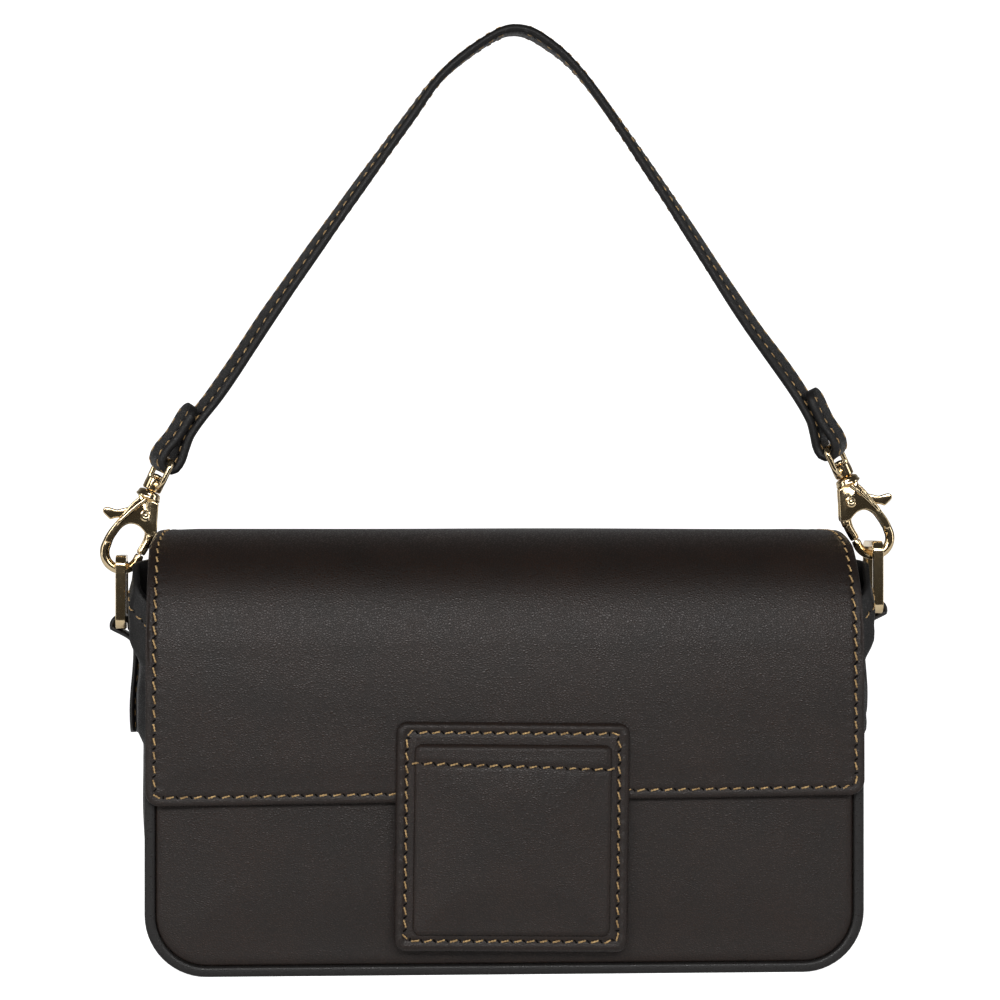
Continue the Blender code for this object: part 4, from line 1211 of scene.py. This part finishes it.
def strap_half(label, arch):
    """One half of the strap, from its folded end to the top of the arch."""
    end, width = strap_end(label)
    straight = smooth(np.arange(len(arch)) / (len(arch) - 1) / 0.9)[:, None]
    widths = np.vstack([np.tile(width, (len(end) - 1, 1)),
                        width * (1 - straight) + np.array([0, 1.0, 0]) * straight])
    line = even_line(np.hstack([np.vstack([end[:-1], arch]), widths]), 1.5 * MM, STRIP_ENDS)
    points, widths = line[:, :3], line[:, 3:] * SIDES[label]

    def relief(length, offset, half):
        seam = -0.20 * MM * math.exp(-(((half - abs(offset) - STRAP_SEAM_INSET) / (0.5 * MM)) ** 2))
        crown = 0.16 * MM * (1 - (offset / half) ** 2)
        return seam + crown + 0.05 * MM * math.sin(length * 260)

    # Painted shade: the strap uses the darker copy of the leather.
    strap = leather_strip(f"strap_{label}_leather", "dark", None, points, widths, STRAP_WIDTH,
                          STRAP_THICKNESS - 0.1 * MM, tip_low=4.5 * MM, relief=relief, across_steps=21)
    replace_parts(strap, "strap", f"strap_end_{label}")
    seam = Seam(3.5 * MM, radius=0.19 * MM)
    offset = STRAP_WIDTH / 2 - STRAP_SEAM_INSET
    thickness = STRAP_THICKNESS - 0.3 * MM
    for way in (-1, 1):
        for face in (1, -1):
            strip_seam(seam, points, widths, way * offset, thickness, face, skip=(5, 8))
    along, side, out = strip_frames(points, widths)
    across = np.linspace(-offset, offset, 8)[:, None]
    for at, slope in ((9, 0.5), (13, -0.5)):
        row = points[at] + side[at] * across + along[at] * across * slope
        for face in (-1, 1):
            seam.add(row + face * out[at] * thickness / 2, np.tile(face * out[at], (8, 1)))
    way = unit(arch[8] - arch[0])
    for piece in (strap, *seam.make(f"strap_{label}_seam")):
        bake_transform(piece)


# ---------------------------------------------------------------- studio

CAMERA_DISTANCE = 1.0763
CAMERA_AZIMUTH = math.radians(-3.7)
CAMERA_HEIGHT = 138 * MM
CAMERA_LENS = 129.6
WHITE = (1, 1, 1, 1)
AMBIENT = (0.16, 0.16, 0.16, 1)
LIT_POINT = Vector((0, 0, 0.11))
FLOOR_FRONT, FLOOR_BACK = -0.30, 1.6
FLOOR_HALF_WIDTH = 3.2
SWEEP_RADIUS = 0.8
WALL_TOP = 2.6


def studio_world():
    """White to the camera; metal sees a dim room, a little lighter behind the bag."""
    world = bpy.data.worlds.new("studio")
    bpy.context.scene.world = world
    world.use_nodes = True
    m = Tree(world.node_tree)
    behind = m.add("ShaderNodeMapRange",
                   {"Value": m.axis("Generated", "Y"), "From Min": 0.05, "From Max": 0.45})
    seen = m.mix(behind.outputs[0], (0.035, 0.033, 0.03, 1), (0.12, 0.12, 0.12, 1))
    colour = m.mix(m.rays("Is Glossy Ray", "Is Transmission Ray"), AMBIENT, seen)
    m.link(m.mix(m.rays("Is Camera Ray"), colour, WHITE), m.tree.nodes["Background"].inputs["Color"])


def sweep_floor():
    """A white floor that turns up into the backdrop; it keeps the bag's soft shadow."""
    profile = [(FLOOR_FRONT, 0.0), (0.0, 0.0), (FLOOR_BACK, 0.0)]
    profile += [(FLOOR_BACK + SWEEP_RADIUS * math.sin(turn), SWEEP_RADIUS - SWEEP_RADIUS * math.cos(turn))
                for turn in np.linspace(0.1, math.pi / 2, 14)]
    profile += [(FLOOR_BACK + SWEEP_RADIUS, WALL_TOP)]
    verts = [(x, y, z) for y, z in profile for x in (-FLOOR_HALF_WIDTH, FLOOR_HALF_WIDTH)]
    mesh = bpy.data.meshes.new("floor")
    mesh.from_pydata(verts, [], grid_faces(len(profile), 2))
    mesh.shade_smooth()
    floor = new_object("floor", mesh)
    m = Nodes("floor_paper")
    glow = m.ramp(m.axis("Object", "Z"), (0.0, 0.15), (0.02, 0.55), (0.22, 0.55), (0.45, 0.06))
    glossy = m.mix(m.rays("Is Glossy Ray"), (0, 0, 0, 1), glow)
    m.set(Base_Color=(0.80, 0.80, 0.80, 1), Roughness=0.9, Specular_IOR_Level=0.1, Emission_Strength=1.0,
          Emission_Color=m.mix(m.rays("Is Camera Ray", "Is Transmission Ray"), glossy, WHITE))
    mesh.materials.append(m.material)


def softbox(name, place, size, radiance):
    """A rectangular area light of a given radiance, aimed at the bag's middle."""
    data = bpy.data.lights.new(name, "AREA")
    data.shape = "RECTANGLE"
    data.size, data.size_y = size
    data.energy = radiance * math.pi * size[0] * size[1]
    lamp = new_object(name, data)
    lamp.location = place
    lamp.rotation_euler = (LIT_POINT - Vector(place)).to_track_quat("-Z", "Y").to_euler()
    lamp.visible_camera = False


def lights():
    softbox("key", (-0.15, -1.42, 0.70), (1.9, 0.40), 7.4)
    softbox("left_strip", (-1.25, -0.55, 0.45), (0.35, 1.1), 2.4)
    softbox("right_strip", (1.25, -0.45, 0.45), (0.35, 1.1), 2.4)


def camera():
    """The photograph's view: a long lens, level with the bag's middle and a little to its left."""
    data = bpy.data.cameras.new("camera")
    data.lens = CAMERA_LENS
    data.clip_start, data.clip_end = 0.05, 20
    back = Vector((math.sin(CAMERA_AZIMUTH), -math.cos(CAMERA_AZIMUTH), 0))
    obj = new_object("camera", data)
    obj.location = Vector((0, MID_Y, CAMERA_HEIGHT)) + back * CAMERA_DISTANCE
    obj.rotation_euler = (-back).to_track_quat("-Z", "Y").to_euler()
    bpy.context.scene.camera = obj


def keep_node(name, kind):
    """A hard piece of the part shown as it is, with its own finish."""
    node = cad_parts[name]
    node.data.materials.clear()
    node.data.materials.append(MATERIAL[kind])


keep_node("base_board", "board")
keep_node("snap_socket_washer", "steel")
edge_bands()
front_panel()
gusset()
lining()
flap_leather()
flap_lining()
flap_seam()
closure_tab()
snap()
arches = arch_lines()
for label in SIDES:
    ring_loop(label)
    ring(label)
    hook(label)
    gate(label)
    bail(label)
    strap_half(label, arches[label])
studio_world()
sweep_floor()
lights()
camera()
bpy.context.scene.view_settings.view_transform = "Standard"
